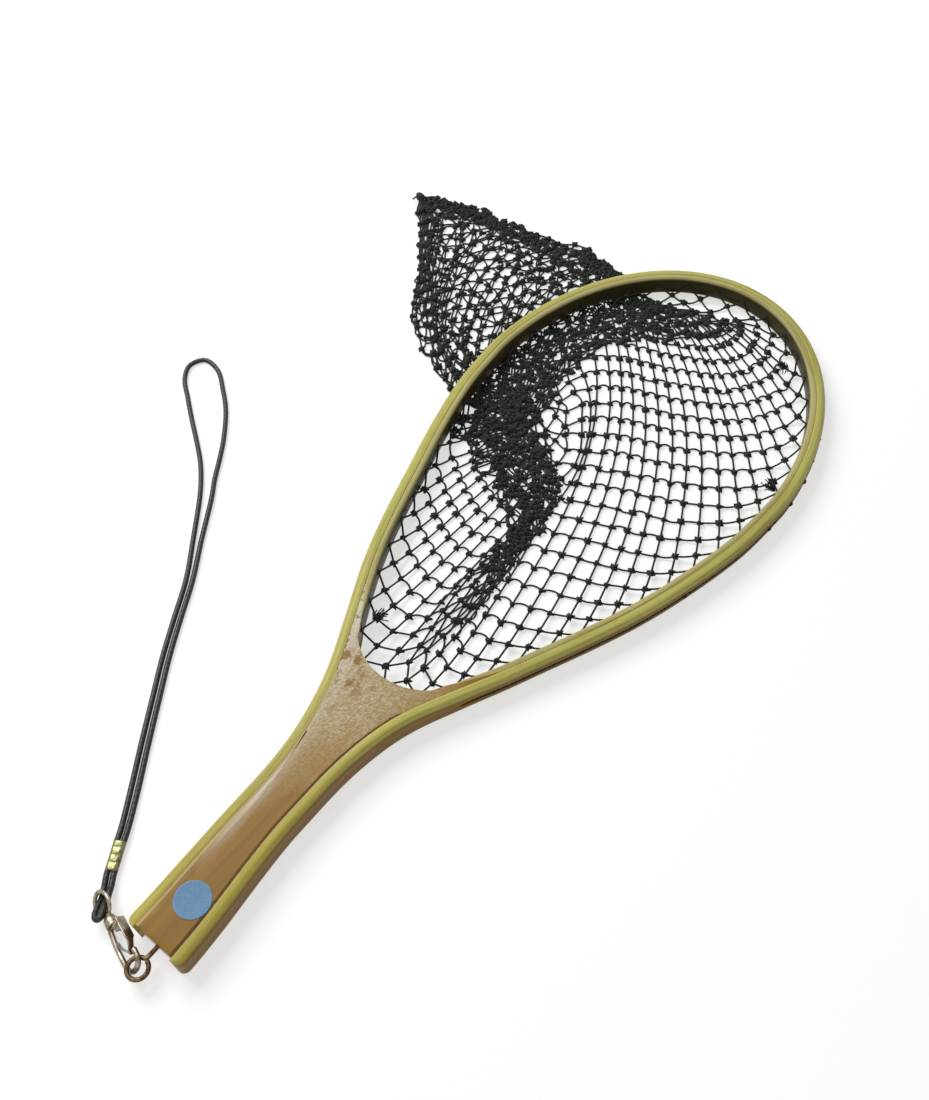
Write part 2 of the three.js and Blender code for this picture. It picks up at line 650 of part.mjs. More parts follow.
// Leaf spring from the hook's back to the underside of the gate's arm
function gateSpring() {
  const half = SPRING_THICK * HALF;
  const foot = at(BACK_RISE_X, backRiseY + HOOK_WIRE + SEAT_GAP + half, 0);
  const end = at(armEnd, noseUnder - GATE_PLATE - SEAT_GAP - half, 0);
  const bow = at((foot.x + end.x) * HALF, foot.y, 0);
  const route = new THREE.QuadraticBezierCurve3(foot, bow, end).getPoints(SPRING_STEPS);
  return loft(route.map((p) => [at(p.x, p.y + half, -SPRING_HALF), at(p.x, p.y + half, SPRING_HALF),
    at(p.x, p.y - half, SPRING_HALF), at(p.x, p.y - half, -SPRING_HALF)]));
}

const washerX = BARREL_END + SEAT_GAP;
const collarX = washerX + WASHER_THICK + SEAT_GAP;
const loopX = collarX + COLLAR_LONG + LOOP_R * LOOP_STRETCH;

function swivelWasher() {
  const hole = POST_R + RUNNING_GAP;
  const rim = BARREL_R - WASHER_THICK;
  const end = washerX + WASHER_THICK;
  return turned([[washerX, hole], [washerX, rim], [end, rim], [end, hole], [washerX, hole]]);
}

function swivelEye() {
  const rivetEnd = BARREL_START - SEAT_GAP;
  const post = turned([[rivetEnd - RIVET_THICK, 0], [rivetEnd - RIVET_THICK, RIVET_R], [rivetEnd, RIVET_R],
    [rivetEnd, POST_R], [collarX, POST_R], [collarX, COLLAR_R], [collarX + COLLAR_LONG, COLLAR_NOSE_R],
    [collarX + COLLAR_LONG, 0]]);
  const loop = new THREE.TorusGeometry(LOOP_R, LOOP_WIRE, CORD_SIDES, RING_STEPS).scale(LOOP_STRETCH, 1, 1);
  return skin(solid(post).add(solid(loop.translate(loopX, 0, 0))));
}

// Where the snap hangs in the eye's ring
const snapOrigin = at(eyeX + SNAP_SHIFT[0], EYE_Y + SNAP_SHIFT[1], MID_Z);
const turn = THREE.MathUtils.degToRad(SNAP_TURN);
const tilt = THREE.MathUtils.degToRad(SNAP_TILT);
const droop = THREE.MathUtils.degToRad(SNAP_DROOP);
const snapAlong = at(Math.cos(turn) * Math.cos(droop), Math.sin(turn) * Math.cos(droop), -Math.sin(droop));
const snapLevel = at(Math.sin(turn), -Math.cos(turn), 0);
const snapUp = snapLevel.clone().cross(snapAlong);
const gateWay = snapLevel.clone().multiplyScalar(Math.cos(tilt)).addScaledVector(snapUp, Math.sin(tilt));
const snapBasis = new THREE.Matrix4().makeBasis(snapAlong, gateWay, snapAlong.clone().cross(gateWay));

// Lanyard
const legSpread = (CORD_D + LEG_GAP) * HALF;
const crimpFrom = new THREE.Vector2(...CRIMP_FROM);
const crimpTo = new THREE.Vector2(...CRIMP_TO);
const crimpAlong = crimpTo.clone().sub(crimpFrom).normalize();
const crimpSide = new THREE.Vector2(-crimpAlong.y, crimpAlong.x);
const threadPoint = snapOrigin.clone().addScaledVector(snapAlong, loopX);

const legPoint = (base, along, side, z) => {
  const p = base.clone().addScaledVector(crimpAlong, along).addScaledVector(crimpSide, side);
  return at(p.x, p.y, z);
};

function lanyardBight() {
  const thread = new THREE.Vector2(threadPoint.x, threadPoint.y);
  const along = crimpFrom.clone().sub(thread).normalize();
  const side = new THREE.Vector2(-along.y, along.x);
  const place = (far, across, z) => {
    const p = thread.clone().addScaledVector(along, far).addScaledVector(side, across);
    return at(p.x, p.y, z);
  };
  const start = (sign) => [legPoint(crimpFrom, -SEAT_GAP, sign * legSpread, CRIMP_Z),
    legPoint(crimpFrom, -CORD_D * HALF - SEAT_GAP, sign * legSpread, CRIMP_Z)];
  const left = BIGHT_ROWS.map(([far, z]) => place(far, legSpread, z));
  const right = BIGHT_ROWS.map(([far, , z]) => place(far, -legSpread, z));
  const route = [...start(1), ...left, place(...BIGHT_END), ...right.reverse(), ...start(-1).reverse()];
  return tube(route, CORD_D * HALF, BIGHT_STEPS);
}

function cordCrimp() {
  const rings = [];
  const long = crimpTo.distanceTo(crimpFrom);
  const lobe = CORD_D * HALF + CRIMP_WALL;
  const section = [];
  for (const side of [1, -1]) {
    for (let k = 0; k <= LOBE_STEPS; k += 1) {
      const angle = Math.PI * (k / LOBE_STEPS - HALF);
      const across = legSpread - CRIMP_PINCH + lobe * Math.cos(angle);
      section.push([side * across, side * lobe * Math.sin(angle)]);
    }
  }
  for (const along of [0, long]) {
    rings.push(section.map(([across, up]) => legPoint(crimpFrom, along, across, CRIMP_Z + up)));
  }
  return loft(rings);
}

function lanyardLoop() {
  const floor = CORD_D * HALF + CORD_LIFT;
  const ends = (side) => [legPoint(crimpTo, SEAT_GAP, side * legSpread, CRIMP_Z),
    legPoint(crimpTo, CORD_D * 2, side * legSpread, (CRIMP_Z + floor) * HALF)];
  const route = LOOP_ROUTE.map(([x, y]) => at(x, y, floor));
  const points = [...ends(1), ...route, ...ends(-1).reverse()];
  return tube(points, CORD_D * HALF, LOOP_STEPS);
}

// The assembled net
function piece(parent, name, geometry, material) {
  const mesh = new THREE.Mesh(geometry, material);
  mesh.name = name;
  parent.add(mesh);
}

const net = new THREE.Group();
piece(net, 'outer_lamination', outerLamination(), ASH);
piece(net, 'inner_lamination', innerLamination(), PALE_ASH);
piece(net, 'handle_core', handleCore(), BROWN_CORE);
piece(net, 'accent_strip_left', accentStrip(1), DARK_ACCENT);
piece(net, 'accent_strip_right', accentStrip(-1), DARK_ACCENT);
piece(net, 'net_bag', netBag(), TWINE);
piece(net, 'bag_floor', bagFloor(), TWINE);
piece(net, 'bag_end_tie', bagEndTie(), TWINE);
piece(net, 'lacing_line', lacingLine(), TWINE);
piece(net, 'dot_sticker', dotSticker(), BLUE_PAPER);
piece(net, 'screw_eye', screwEye(), DARK_STEEL);

const snap = new THREE.Group();
snap.position.copy(snapOrigin);
snap.quaternion.setFromRotationMatrix(snapBasis);
net.add(snap);
piece(snap, 'snap_body', snapBody(), NICKEL);
piece(snap, 'snap_gate', snapGate(), NICKEL);
piece(snap, 'gate_pin', gatePin(), NICKEL);
piece(snap, 'gate_spring', gateSpring(), SPRING_STEEL);
piece(snap, 'swivel_washer', swivelWasher(), NICKEL);

piece(snap, 'swivel_eye', swivelEye(), NICKEL);

piece(net, 'lanyard_bight', lanyardBight(), BLACK_CORD);
piece(net, 'cord_crimp', cordCrimp(), BRASS);
piece(net, 'lanyard_loop', lanyardLoop(), BLACK_CORD);

export default net;
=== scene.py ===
"""Wooden landing net with a knotted bag, a swivel snap and a lanyard, dressed for rendering."""

import math

import bpy
import numpy as np
from mathutils import Matrix, Vector


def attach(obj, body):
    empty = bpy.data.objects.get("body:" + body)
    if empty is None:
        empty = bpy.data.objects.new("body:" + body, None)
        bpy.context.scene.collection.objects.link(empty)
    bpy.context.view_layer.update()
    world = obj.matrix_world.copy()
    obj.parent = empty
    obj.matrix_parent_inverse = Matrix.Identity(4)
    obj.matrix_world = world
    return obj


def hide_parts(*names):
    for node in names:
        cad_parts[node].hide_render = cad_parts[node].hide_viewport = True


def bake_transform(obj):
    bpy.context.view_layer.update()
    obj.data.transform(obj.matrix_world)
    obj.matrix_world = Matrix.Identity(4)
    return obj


bl_info = {
    "name": "Wooden landing net",
    "version": (1, 0, 0),
    "blender": (4, 5, 0),
    "location": "3D View > Sidebar > Landing Net",
    "description": "Builds a laminated landing net with its knotted bag, swivel snap and lanyard",
    "category": "Add Mesh",
}

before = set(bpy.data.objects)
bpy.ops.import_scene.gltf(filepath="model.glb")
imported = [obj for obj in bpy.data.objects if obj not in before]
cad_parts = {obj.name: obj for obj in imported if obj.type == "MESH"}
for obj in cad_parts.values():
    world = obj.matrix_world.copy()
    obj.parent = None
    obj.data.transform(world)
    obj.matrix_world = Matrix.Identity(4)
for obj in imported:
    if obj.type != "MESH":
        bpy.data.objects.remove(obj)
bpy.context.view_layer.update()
MM = 0.001

# Plan of the frame, in millimetres
BUTT_X = -71.5
WAIST_X = 15.0
HOOP_WIDE_X = 335.0
TIP_X = 483.0
BUTT_HALF = 18.5
WAIST_HALF = 16.5
HOOP_HALF = 110.0
BUTT_CORNER = 4.0
SHOULDER = ((0.094, 0.014), (0.172, 0.061), (0.241, 0.137), (0.328, 0.28), (0.422, 0.44),
            (0.531, 0.6), (0.647, 0.746), (0.766, 0.871), (0.884, 0.963))
LEAN = ((BUTT_X, -2.9), (WAIST_X, 0.9), (105.0, 4.1), (150.0, 4.0), (235.0, 0.5), (TIP_X, 0.5))

# Thicknesses, joints and groove of the frame
HANDLE_THICK = 19.0
HOOP_TALL = 14.0
TAPER_START_X = 55.0
TAPER_END_X = 165.0
OUTER_STRIP = 6.0
INNER_STRIP = 3.7
ACCENT = 1.3
ACCENT_END = 0.5
ACCENT_END_X = 88.0
GLUE = 0.3
OUTER_ROUND = 4.0
INNER_ROUND = 2.0
BUTT_RECESS = 1.6
THROAT_X = 101.5
THROAT_RADIUS = 40.0
SCARF_X = 139.0
HORN_TIP = 0.25
SCARF_START = 1.6
MID_Z = HANDLE_THICK / 2
MOUTH_INSET = OUTER_STRIP + GLUE + INNER_STRIP
CORE_BUTT_X = BUTT_X + BUTT_RECESS
GROOVE_WIDE = 2.8
GROOVE_DEEP = 2.0
# The groove starts this far before the lacing and deepens over the next length, from a trace
GROOVE_LEAD = 6.0
GROOVE_EASE = 8.0
GROOVE_TRACE = 0.03
# Roundings of the strips' and the core's sharp edges
SOFT_EDGE = 0.3
CORE_EDGE = 0.7
STRIP_END_EDGE = 0.35
# How far the accent lines stay under the faces, and reach into the joints towards strip and core
ACCENT_SUNK = 0.03
ACCENT_TO_STRIP = 0.02
ACCENT_TO_CORE = 0.04
# Distance between two lines of the core's chart
CORE_CHART_STEP = 0.5
LACING_D = 1.8
LACING_PROUD = 0.2
LACING_START_X = 122.0
# The line itself begins this far on
LACING_LEAD = 3.0
# Points of the outer and inner strips' sections where the rounding has nearly turned into the wall
WALL_POINT = 10
INNER_WALL_POINT = 9
# Rows of the core's chart, in metres, where painted glare whitens its left edge
GLARE_FROM = 0.024
GLARE_TO = 0.035
GLARE_END = 0.0453
GLARE_FADE = 0.0007
# Weight of the varnish on the strips and the accent lines
STRIP_COAT = 0.08
ACCENT_COAT = 0.06
# Radius, thickness and lean of the turns of twine round the lacing line, and a hitch's thickness
TURN_R = 1.0
TURN_WIRE = 0.42
TURN_LEAN = 0.35
HITCH_WIRE = 0.6
# Larger hitches on the outer wall, with the shift and radius of their turns
HITCHES = np.array([[249.0, -94.0], [319.0, -108.0], [343.0, -109.3], [362.0, -107.7]])
HITCH_TURNS = ((-0.7, 1.25), (0.0, 1.5), (0.7, 1.25))
# Frayed ends inside the mouth, with the way they point
FRAYED = (((130.0, 35.0, 8.5), (4.0, -3.5, 3.0)), ((347.0, -97.0, 8.0), (1.0, 5.0, 3.5)),
          ((440.0, -52.0, 8.0), (-4.0, 2.5, 3.0)))
FRAYED_THREADS = 30
FRAYED_SPREAD = 1.9
FRAYED_R = 0.34
# Spread of the threads' lengths, their bend and their lowest tip
FRAYED_LONG = (0.6, 1.3)
FRAYED_BEND = 0.5
FRAYED_LOW = 2.0

# Net bag: meshes at the rim and at the end, rows in the first piece and in all, twine between two knots
RIM_MESHES = 46
END_MESHES = 18
ROWS_IN = 25
ROWS = 50
BAR = 12.8
# The row from which the bag narrows, and how early it does
NARROW_FROM = 18
NARROW_CURVE = 1.5
RIM_Z = 10.5
ROOT = np.array([366.0, 78.0])
POUCH_TURN = math.radians(71.0)
POUCH_ALONG = np.array([math.cos(POUCH_TURN), math.sin(POUCH_TURN)])
POUCH_ACROSS = np.array([POUCH_ALONG[1], -POUCH_ALONG[0]])
# Distance from the root, sideways place of the middle, half width, height
POUCH_ROWS = np.array([[0, -2, 80, 1.9], [18, -4, 83, 5], [46, -2, 77, 7], [62, -1, 71, 8],
                       [84, -1, 61, 8], [104, -1, 49, 8], [129, 5, 34, 7], [146, 9.5, 22, 6],
                       [166, 8, 9, 5], [178, 4, 3.5, 4]])
POUCH_STATIONS = (24, 46, 62, 84, 104, 129, 146, 166, 180)
# Line where the slack inside the hoop gathers, and how wide the bunch is along it
GATHER = np.array([[242, -15], [257, -6], [269, 8], [278, 26], [285, 43], [291, 59], [296, 73]], float)
GATHER_SPREAD = np.array([20, 18, 18, 24, 32, 37, 40], float)
# Under one, the rows lie wider near the rim than in the gather
ROW_EASE = 0.8
# Ways to the side for lanes that join the gather, and for lanes in it by its width
JOIN_SIDE = np.array([18.0, -9.0])
LANE_SIDE = np.array([0.9, -0.45])
# Place round the rim in parts of RIM_PLACES, and the share of the gather line where that part joins it
RIM_PLACES = 54
JOIN = np.array([[-24, 0.85], [-22, 0.65], [-20, 0.48], [-18, 0.34], [-16, 0.24], [-13, 0.22], [-11, 0.34],
                 [-9, 0.5], [-7, 0.66], [-5.5, 0.8], [-4.5, 0.9]])
# Place round the rim, and the point where that part folds back under the hoop
FOLDS = np.array([[-4.5, 290, 50], [-2, 318, 54], [0, 344, 60], [2, 372, 62], [4, 398, 54], [6, 418, 38],
                  [8, 432, 14], [9.5, 440, -8]], float)
# Place round the rim, and the rows of knots that lie inside the hoop there
INSIDE_ROWS = np.array([[-27, 29], [-22, 32], [-18, 36], [-11, 35], [-7, 29], [-3, 21], [2, 18], [7, 18],
                        [10, 17], [14, 19], [20, 21], [24, 24], [27, 29]], float)
# Lines of knots that are laid from the rim
ANGLES = 216
# The mesh lies slack between the throat and these, and its knots stray further there
SLACK_X = 262.0
SLACK_Y = -32.0
SLACK_STRAY = 2.6
STRAY = 1.1
# How much larger the rows' waves are in the bag's end
END_WAVES = 2.6
# Under one, the twine of the bag's end lies closer towards its left and right edge
POUCH_EDGES = (0.5, 0.85)
# Steps round the rim, and the place near which they start
RIM_STEPS = 4000
RIM_START = (366, 105)
# How far out the bag goes under the hoop and is clear of it again, its share of the width, and its height
CROSS_FAR = 12
HOOP_CLEAR = 30
CROSS_SHARE = 0.95
LAID_Z = 1.2
# Lanes of the gather: waves round the rim, with their turn a place, start and size, and a shift of all
LANE_WAVES = ((0.62, 0.8, 0.8), (2.1, 0.0, 0.25))
LANE_SHIFT = -0.25
# Way to the gather: shares of it, how far it strays and goes with its lane, its height and rise
JOIN_PARTS = (0.35, 0.7)
JOIN_STRAY = 5
JOIN_LANE = 8
JOIN_Z = 2.5
JOIN_RISE = 3
# Way along the gather: its points, how far they stray, its height and rise
GATHER_POINTS = 5
GATHER_STRAY = 1.5
GATHER_Z = 4
GATHER_RISE = 3
# Folds: how far they stray, the heights before, in and after one, and the share of the way to the last
FOLD_STRAY = 3
FOLD_Z = (7, 6, 3)
FOLD_AFTER = 0.2
# Where the mesh goes straight back under the hoop: its first step from the rim, and the height there
BACK_STEP = 5
BACK_Z = 1.6
# Slow waves of the rows: their number, turns round a row, radians from row to row, and rows to grow in
WAVES = 10
WAVE_TURNS = (2, 9)
WAVE_PACE = (0.15, 0.6)
WAVE_START = (0, 6.28)
WAVE_ROWS = 4
# Middles of slack bars hang out by this share of their slack, and less upwards
SAG_SHARE = 0.7
SAG_UP = 0.4
# Settling: fall and stir of each step, the share of the steps with a stir, and the pulls in a step
FALL = 0.25
STIR = 0.12
STIR_UNTIL = 0.6
PULLS = 12
# Twine is pushed apart once in so many pulls, by a share of what is missing
PULLS_TO_PUSH = 4
PUSH = 0.35
# A half bar pushes back below this share of its length, by this share of what is missing
SHORTEST = 0.72
PUSH_BACK = 0.25
# A knot keeps twine off by this share of its size, and gives way less than twine does
KNOT_BODY = 0.58
KNOT_EASE = 0.7
# Twine lower than this goes under the hoop, and higher twine goes beside it, within a margin
UNDER_Z = 7
HOOP_MARGIN = 2
# Neighbours are looked for within so many of the largest radius
NEAR_REACH = 2.1
# How far a bar's twine follows the bend that it settled in
BAR_BEND = 0.6
# Knots: their shape along, across and up, spread of sizes and of turns, and the share of their slope
KNOT_SHAPE = (1.15, 0.95, 0.75)
KNOT_SIZES = (0.88, 1.14)
KNOT_SWING = 0.9
KNOT_SLOPE = 0.4
# Tie at the bag's end
TIE_AT = (182.0, 3.0)
TIE_R = 3.4
TIE_TURNS = 4
TIE_LONG = 3.6
# Radius of the turns by that of the tie, and of the core in them by that of the turns
TIE_WIND = 0.72
TIE_FILL = 0.9
TIE_CORE = ((-2.2, 0, TIE_R), (0, 0, TIE_R), (2.2, 0, TIE_R), (3.2, 0.4, TIE_R))
TIE_TAILS = ([[0, 1.4, 5], [2.5, 2.2, 4.2], [4.6, 3.4, 2.2]], [[0, -1.4, 5], [2, -3, 3.6], [3.2, -4.8, 1.6]])

# Screw eye and swivel snap
EYE_INNER = 4.0
EYE_WIRE = 1.2
EYE_SHANK_BARE = 6.7
EYE_SHANK_IN = 8.0
EYE_BEND = (14, 348)
# Points of the neck: distance from the ring, and sideways
EYE_NECK = ((2.6, 0.0), (0.9, 0.15))
EYE_Y = -3.0
EYE_X = CORE_BUTT_X - EYE_SHANK_BARE - EYE_INNER - 2 * EYE_WIRE
SNAP_TURN = math.radians(74.0)
SNAP_TILT = math.radians(43.0)
SNAP_DROOP = math.radians(5.5)
SNAP_OFF_EYE = (-0.75, 0.25)
SNAP_ORIGIN = Vector((EYE_X + SNAP_OFF_EYE[0], EYE_Y + SNAP_OFF_EYE[1], MID_Z))
HOOK_WIRE = 1.4
HOOK_BEND = 5.0
NOSE_END = 8.0
NOSE_STRAIGHT = 1.5
BACK_STRAIGHT_X = 12.0
BACK_RISE_X = 18.0
BACK_RISE = 0.4
BARREL_START = 25.5
BARREL_END = 30.0
BARREL_R = 3.4
# Edges of the barrel: their rounding, and how far in its middle point lies
BARREL_LIP = 0.4
LIP_MIDDLE = 0.12
# Groove round the barrel: where its two walls begin and end, and its depth
BARREL_GROOVE = (1.2, 1.4, 1.7, 1.9)
BARREL_GROOVE_DEEP = 0.25
# How far the hook's wire and the lug go into the barrel
INTO_BARREL = 1.0
# Lug for the pin: its reach past the pin, top, half width and rounding
LUG_BACK = 2.0
LUG_TOP = 5.1
LUG_HALF = 1.2
LUG_ROUND = 0.4
POST_R = 1.3
RIVET_R = 1.9
RIVET_THICK = 0.9
# Dome of the rivet: distance from its head, and how much less than its radius
RIVET_DOME = ((-0.2, RIVET_R), (-0.1, 0.9), (0.3, 0.0))
WASHER_THICK = 0.5
# Rounding of the washer's edge, along its axis and inwards
WASHER_EDGE_LONG = 0.12
WASHER_EDGE_DEEP = 0.15
SEAT_GAP = 0.3
PIN_X = 22.6
PIN_Y = 3.7
PIN_R = 0.8
PIN_PLAY = 0.02
PIN_HEAD_R = 0.95
PIN_HEAD_THICK = 0.2
# Dome of the pin's heads: distance from the head's face, and radius
PIN_DOME = ((0.2, 0.5), (0.25, 0.0))
# Cheeks of the gate: inner and outer face, reach to both sides of the pin, lower and upper edge, rounding
CHEEK_IN = 1.5
CHEEK_OUT = 2.6
CHEEK_HALF = 2.2
CHEEK_LOW = 2.3
CHEEK_HIGH = 6.35
CHEEK_ROUND = 0.35
BORE_PLAY = 0.15
# The gate's strip from its outer end: places along the snap and towards the gate, half thickness, half width
GATE_ROWS = ((26.0, 6.35, 0.2, 1.9), (25.85, 6.35, 0.45, 2.35), (25.4, 6.35, 0.55, 2.6),
             (18.0, 6.35, 0.55, 2.6), (15.0, 6.35, 0.55, 2.6), (14.1, 6.3, 0.55, 2.4),
             (13.3, 5.95, 0.55, 1.9), (12.0, 5.15, 0.55, 1.65), (10.4, 4.1, 0.55, 1.6),
             (9.2, 3.2, 0.55, 1.6), (8.5, 2.82, 0.55, 1.7), (7.6, 2.75, 0.55, 1.75),
             (7.0, 2.75, 0.5, 1.65), (6.75, 2.75, 0.3, 1.3))
# Sides of the strip's section, how square it is across and through, and the step of its chart
GATE_SIDES = 20
GATE_SQUARE = (0.35, 0.5)
GATE_CHART_STEP = 0.6
# Ribs of the thumb pad
PAD_FROM = 15.2
PAD_TO = 24.6
RIB_PITCH = 1.2
RIB_DEEP = 0.16
# Section of the spring's leaf
LEAF_SECTION = ((0.2, -0.9), (0.2, 0.9), (0.12, 1.0), (-0.12, 1.0), (-0.2, 0.9), (-0.2, -0.9),
                (-0.12, -1.0), (0.12, -1.0))
# How far the leaf's middle stays off the hook and the gate, and its tip reaches past the nose
LEAF_OFF = 0.5
LEAF_PAST = 0.6
GATE_PLATE = 1.1
COLLAR_R = 2.4
COLLAR_NOSE_R = 1.9
COLLAR_LONG = 1.8
# Foot of the collar: distance along it, and how much less than its radius
COLLAR_FOOT = ((0.0, 0.2), (0.2, 0.0), (0.9, 0.15))
# Dome past the collar's nose: distance from it, and radius
COLLAR_DOME = ((0.4, 1.2), (0.5, 0.0))
LOOP_R = 5.4
LOOP_WIRE = 1.0
LOOP_STRETCH = 1.2
# Sides of the swivel eye's ring and of its wire, and the step of the wire's chart
LOOP_SIDES = 56
LOOP_WIRE_SIDES = 12
LOOP_CHART_STEP = 0.5
COLLAR_X = BARREL_END + 2 * SEAT_GAP + WASHER_THICK
LOOP_X = COLLAR_X + COLLAR_LONG + LOOP_R * LOOP_STRETCH

# Lanyard
CORD_D = 3.2
LEG_GAP = 0.35
LEG_SPREAD = (CORD_D + LEG_GAP) / 2
CRIMP_FROM = np.array([-58.9, 45.3])
CRIMP_TO = np.array([-45.6, 53.3])
CRIMP_WALL = 0.5
CRIMP_Z = 2.6
CRIMP_PINCH = 0.5
# Rolled end of the crimp: distance from the end and share of the section there, and where it is over
CRIMP_LIP = ((0.0, 0.6), (0.0, 0.86), (0.25, 0.96), (0.7, 1.0))
CRIMP_PLAIN = 1.2
# The crimp's dents: their places along it, length, depth and width
CRIMP_DENTS = (0.24, 0.5, 0.76)
DENT_LONG = 0.9
DENT_DEEP = 0.2
DENT_WIDE = 1.9
LEG_INSET = 0.6
FLOOR_GAP = 0.05
CORD_Z = CORD_D / 2 + FLOOR_GAP
# Braid of the cord, in metres: one turn of a strand, strands each way, and the distance round the cord
BRAID_PITCH = 0.0034
BRAID_STRANDS = 4
BRAID_ROUND = 0.01005
# Distance from the eye, height of the two legs, and their distance from the middle
BIGHT_ROWS = ((9, 2.6, 3.2, 1.78), (6, 2.6, 4.3, 1.8), (4, 2.65, 4.6, 1.85), (2, 3.3, 5.5, 1.95),
              (0, 4.8, 6.5, 2.0), (-2.5, 5.8, 8.0, 2.1), (-5, 6.8, 8.7, 2.1), (-7.2, 7.6, 8.8, 1.55))
BIGHT_END = (-8.3, 0.0, 8.4)
LOOP_ROUTE = ((-23, 70.6), (-3, 84.8), (19, 100), (42, 115.8), (63, 128.8), (85, 142.2), (108, 160),
              (133.5, 180.5), (145, 191.5), (153, 200.6), (163, 214.4), (172.7, 228.4), (184, 244),
              (195, 258.3), (205.4, 264), (214.6, 259.5), (213.5, 246.4), (203.2, 230.9), (192, 217),
              (174, 200.8), (159.8, 190.4), (147.5, 182), (136.5, 173.4), (110, 155.2), (87, 138.8),
              (65, 125.6), (44, 112.6), (21, 96.8), (-1, 81.6), (-21, 67.4))

# Paper dot, with its section from the middle of the underside: radius and height
DOT_AT = (-45.0, -3.6)
DOT_R = 9.5
DOT_ROWS = ((0.0, 0.02), (DOT_R - 0.05, 0.02), (DOT_R, 0.06), (DOT_R, 0.2), (DOT_R - 0.08, 0.26),
            (DOT_R - 0.5, 0.25), (DOT_R - 2, 0.22), (DOT_R / 2, 0.2), (0.0, 0.2))
DOT_SIDES = 72
# How far the rim curls up, and how late that starts
DOT_CURL = 0.05
DOT_CURL_LATE = 6

# Stage, in metres: the camera, what the lamps look at, and each lamp's place, size and share of the key power
CAMERA_AT = (-0.0896, -0.2168, 0.5672)
CAMERA_RIGHT = (0.6233, -0.7819, -0.0159)
CAMERA_FORWARD = (0.4276, 0.3578, -0.8301)
SENSOR_MM = 36.0
STAGE_MIDDLE = (0.2, 0.05, 0.0)
FLOOR_WIDE = 6.0
LAMPS = (("key_lamp", (0.3, 1.15, 1.4), 1.1, 1.0), ("fill_lamp", (-0.9, -0.5, 1.2), 1.4, 0.08))

# Rounded ends of rods: their length by the radius, and shares of that length with shares of the radius
TUBE_DOME_LONG = 0.55
TUBE_DOME = ((0.45, 0.88), (0.8, 0.6), (1.0, 0.02))


# Curves of the frame
def smooth(t):
    share = np.clip(t, 0.0, 1.0)
    return share * share * (3 - 2 * share)


def circle(count):
    """Even angles round a circle."""
    return np.arange(count) * 2 * math.pi / count


def round_girth(radius, sides):
    """Even distances round a circle, back to the start."""
    return np.arange(sides + 1) * 2 * math.pi * radius / sides


def unit(rows):
    """Rows of directions, each made one long."""
    return rows / np.linalg.norm(rows, axis=1)[:, None]


def drift(x):
    """How far the frame's middle line leans to the left."""
    x = np.asarray(x, float)
    y = np.full(x.shape, LEAN[0][1])
    for (x0, y0), (x1, y1) in zip(LEAN[:-1], LEAN[1:]):
        y = np.where(x >= x0, y0 + (y1 - y0) * smooth((x - x0) / (x1 - x0)), y)
    return y


def half_thick(x):
    """Half of the frame's thickness at a place along it."""
    taper = smooth((x - TAPER_START_X) / (TAPER_END_X - TAPER_START_X))
    return float(HANDLE_THICK + (HOOP_TALL - HANDLE_THICK) * taper) / 2


def catmull(points, steps):
    """Points of an even Catmull-Rom curve through the given ones."""
    points = np.asarray(points, float)
    last = len(points) - 1
    t = np.linspace(0, 1, steps, endpoint=False)[:, None]
    out = []
    for i in range(last):
        p0, p1, p2, p3 = (points[min(max(i + k, 0), last)] for k in (-1, 0, 1, 2))
        v0, v1 = (p2 - p0) / 2, (p3 - p1) / 2
        cubic = 2 * p1 - 2 * p2 + v0 + v1
        square = 3 * p2 - 3 * p1 - 2 * v0 - v1
        out.append(cubic * t ** 3 + square * t ** 2 + v0 * t + p1)
    return np.vstack(out + [points[-1:]])


def along(points):
    """Distance from the first point, place by place."""
    return np.r_[0, np.cumsum(np.linalg.norm(np.diff(points, axis=0), axis=1))]


def spaced(points, count, ease=1.0):
    """As many points along a polyline, evenly spaced unless an ease under one spreads the first of them."""
    far = along(points)
    want = np.linspace(0, 1, count) ** ease * far[-1]
    return np.stack([np.interp(want, far, points[:, k]) for k in range(points.shape[1])], axis=1)


def inward(points):
    """Unit normals to the right of a polyline's direction."""
    way = unit(np.gradient(points, axis=0))
    return np.stack([way[:, 1], -way[:, 0]], axis=1)


def frame_outline():
    """Outer edge of the frame, from the butt's left corner round the tip to its right corner."""
    grip = [(BUTT_X + (WAIST_X - BUTT_X) * t, BUTT_HALF + (WAIST_HALF - BUTT_HALF) * float(smooth(t)))
            for t in (0, 1 / 3, 2 / 3, 1)]
    gain = HOOP_HALF - WAIST_HALF
    shoulder = [(WAIST_X + (HOOP_WIDE_X - WAIST_X) * a, WAIST_HALF + gain * b) for a, b in SHOULDER]
    side = catmull(grip + shoulder + [(HOOP_WIDE_X, HOOP_HALF)], 24)
    turn = np.linspace(0, math.pi / 2, 160)[1:]
    cap = np.stack([HOOP_WIDE_X + (TIP_X - HOOP_WIDE_X) * np.sin(turn), HOOP_HALF * np.cos(turn)], axis=1)
    half = spaced(np.vstack([side, cap]), 290)
    corner = np.array([[BUTT_X + BUTT_CORNER * s, BUTT_HALF] for s in (0, 0.04, 0.12, 0.25, 0.45, 0.7)])
    half = np.vstack([corner, half[half[:, 0] > BUTT_X + BUTT_CORNER]])
    lean = drift(half[:, 0])
    left = np.stack([half[:, 0], lean + half[:, 1]], axis=1)
    right = np.stack([half[:, 0], lean - half[:, 1]], axis=1)[:-1][::-1]
    return np.vstack([left, right])


OUTLINE = frame_outline()
INWARD = inward(OUTLINE)
ARC = along(OUTLINE)
TIP_ROW = len(OUTLINE) // 2


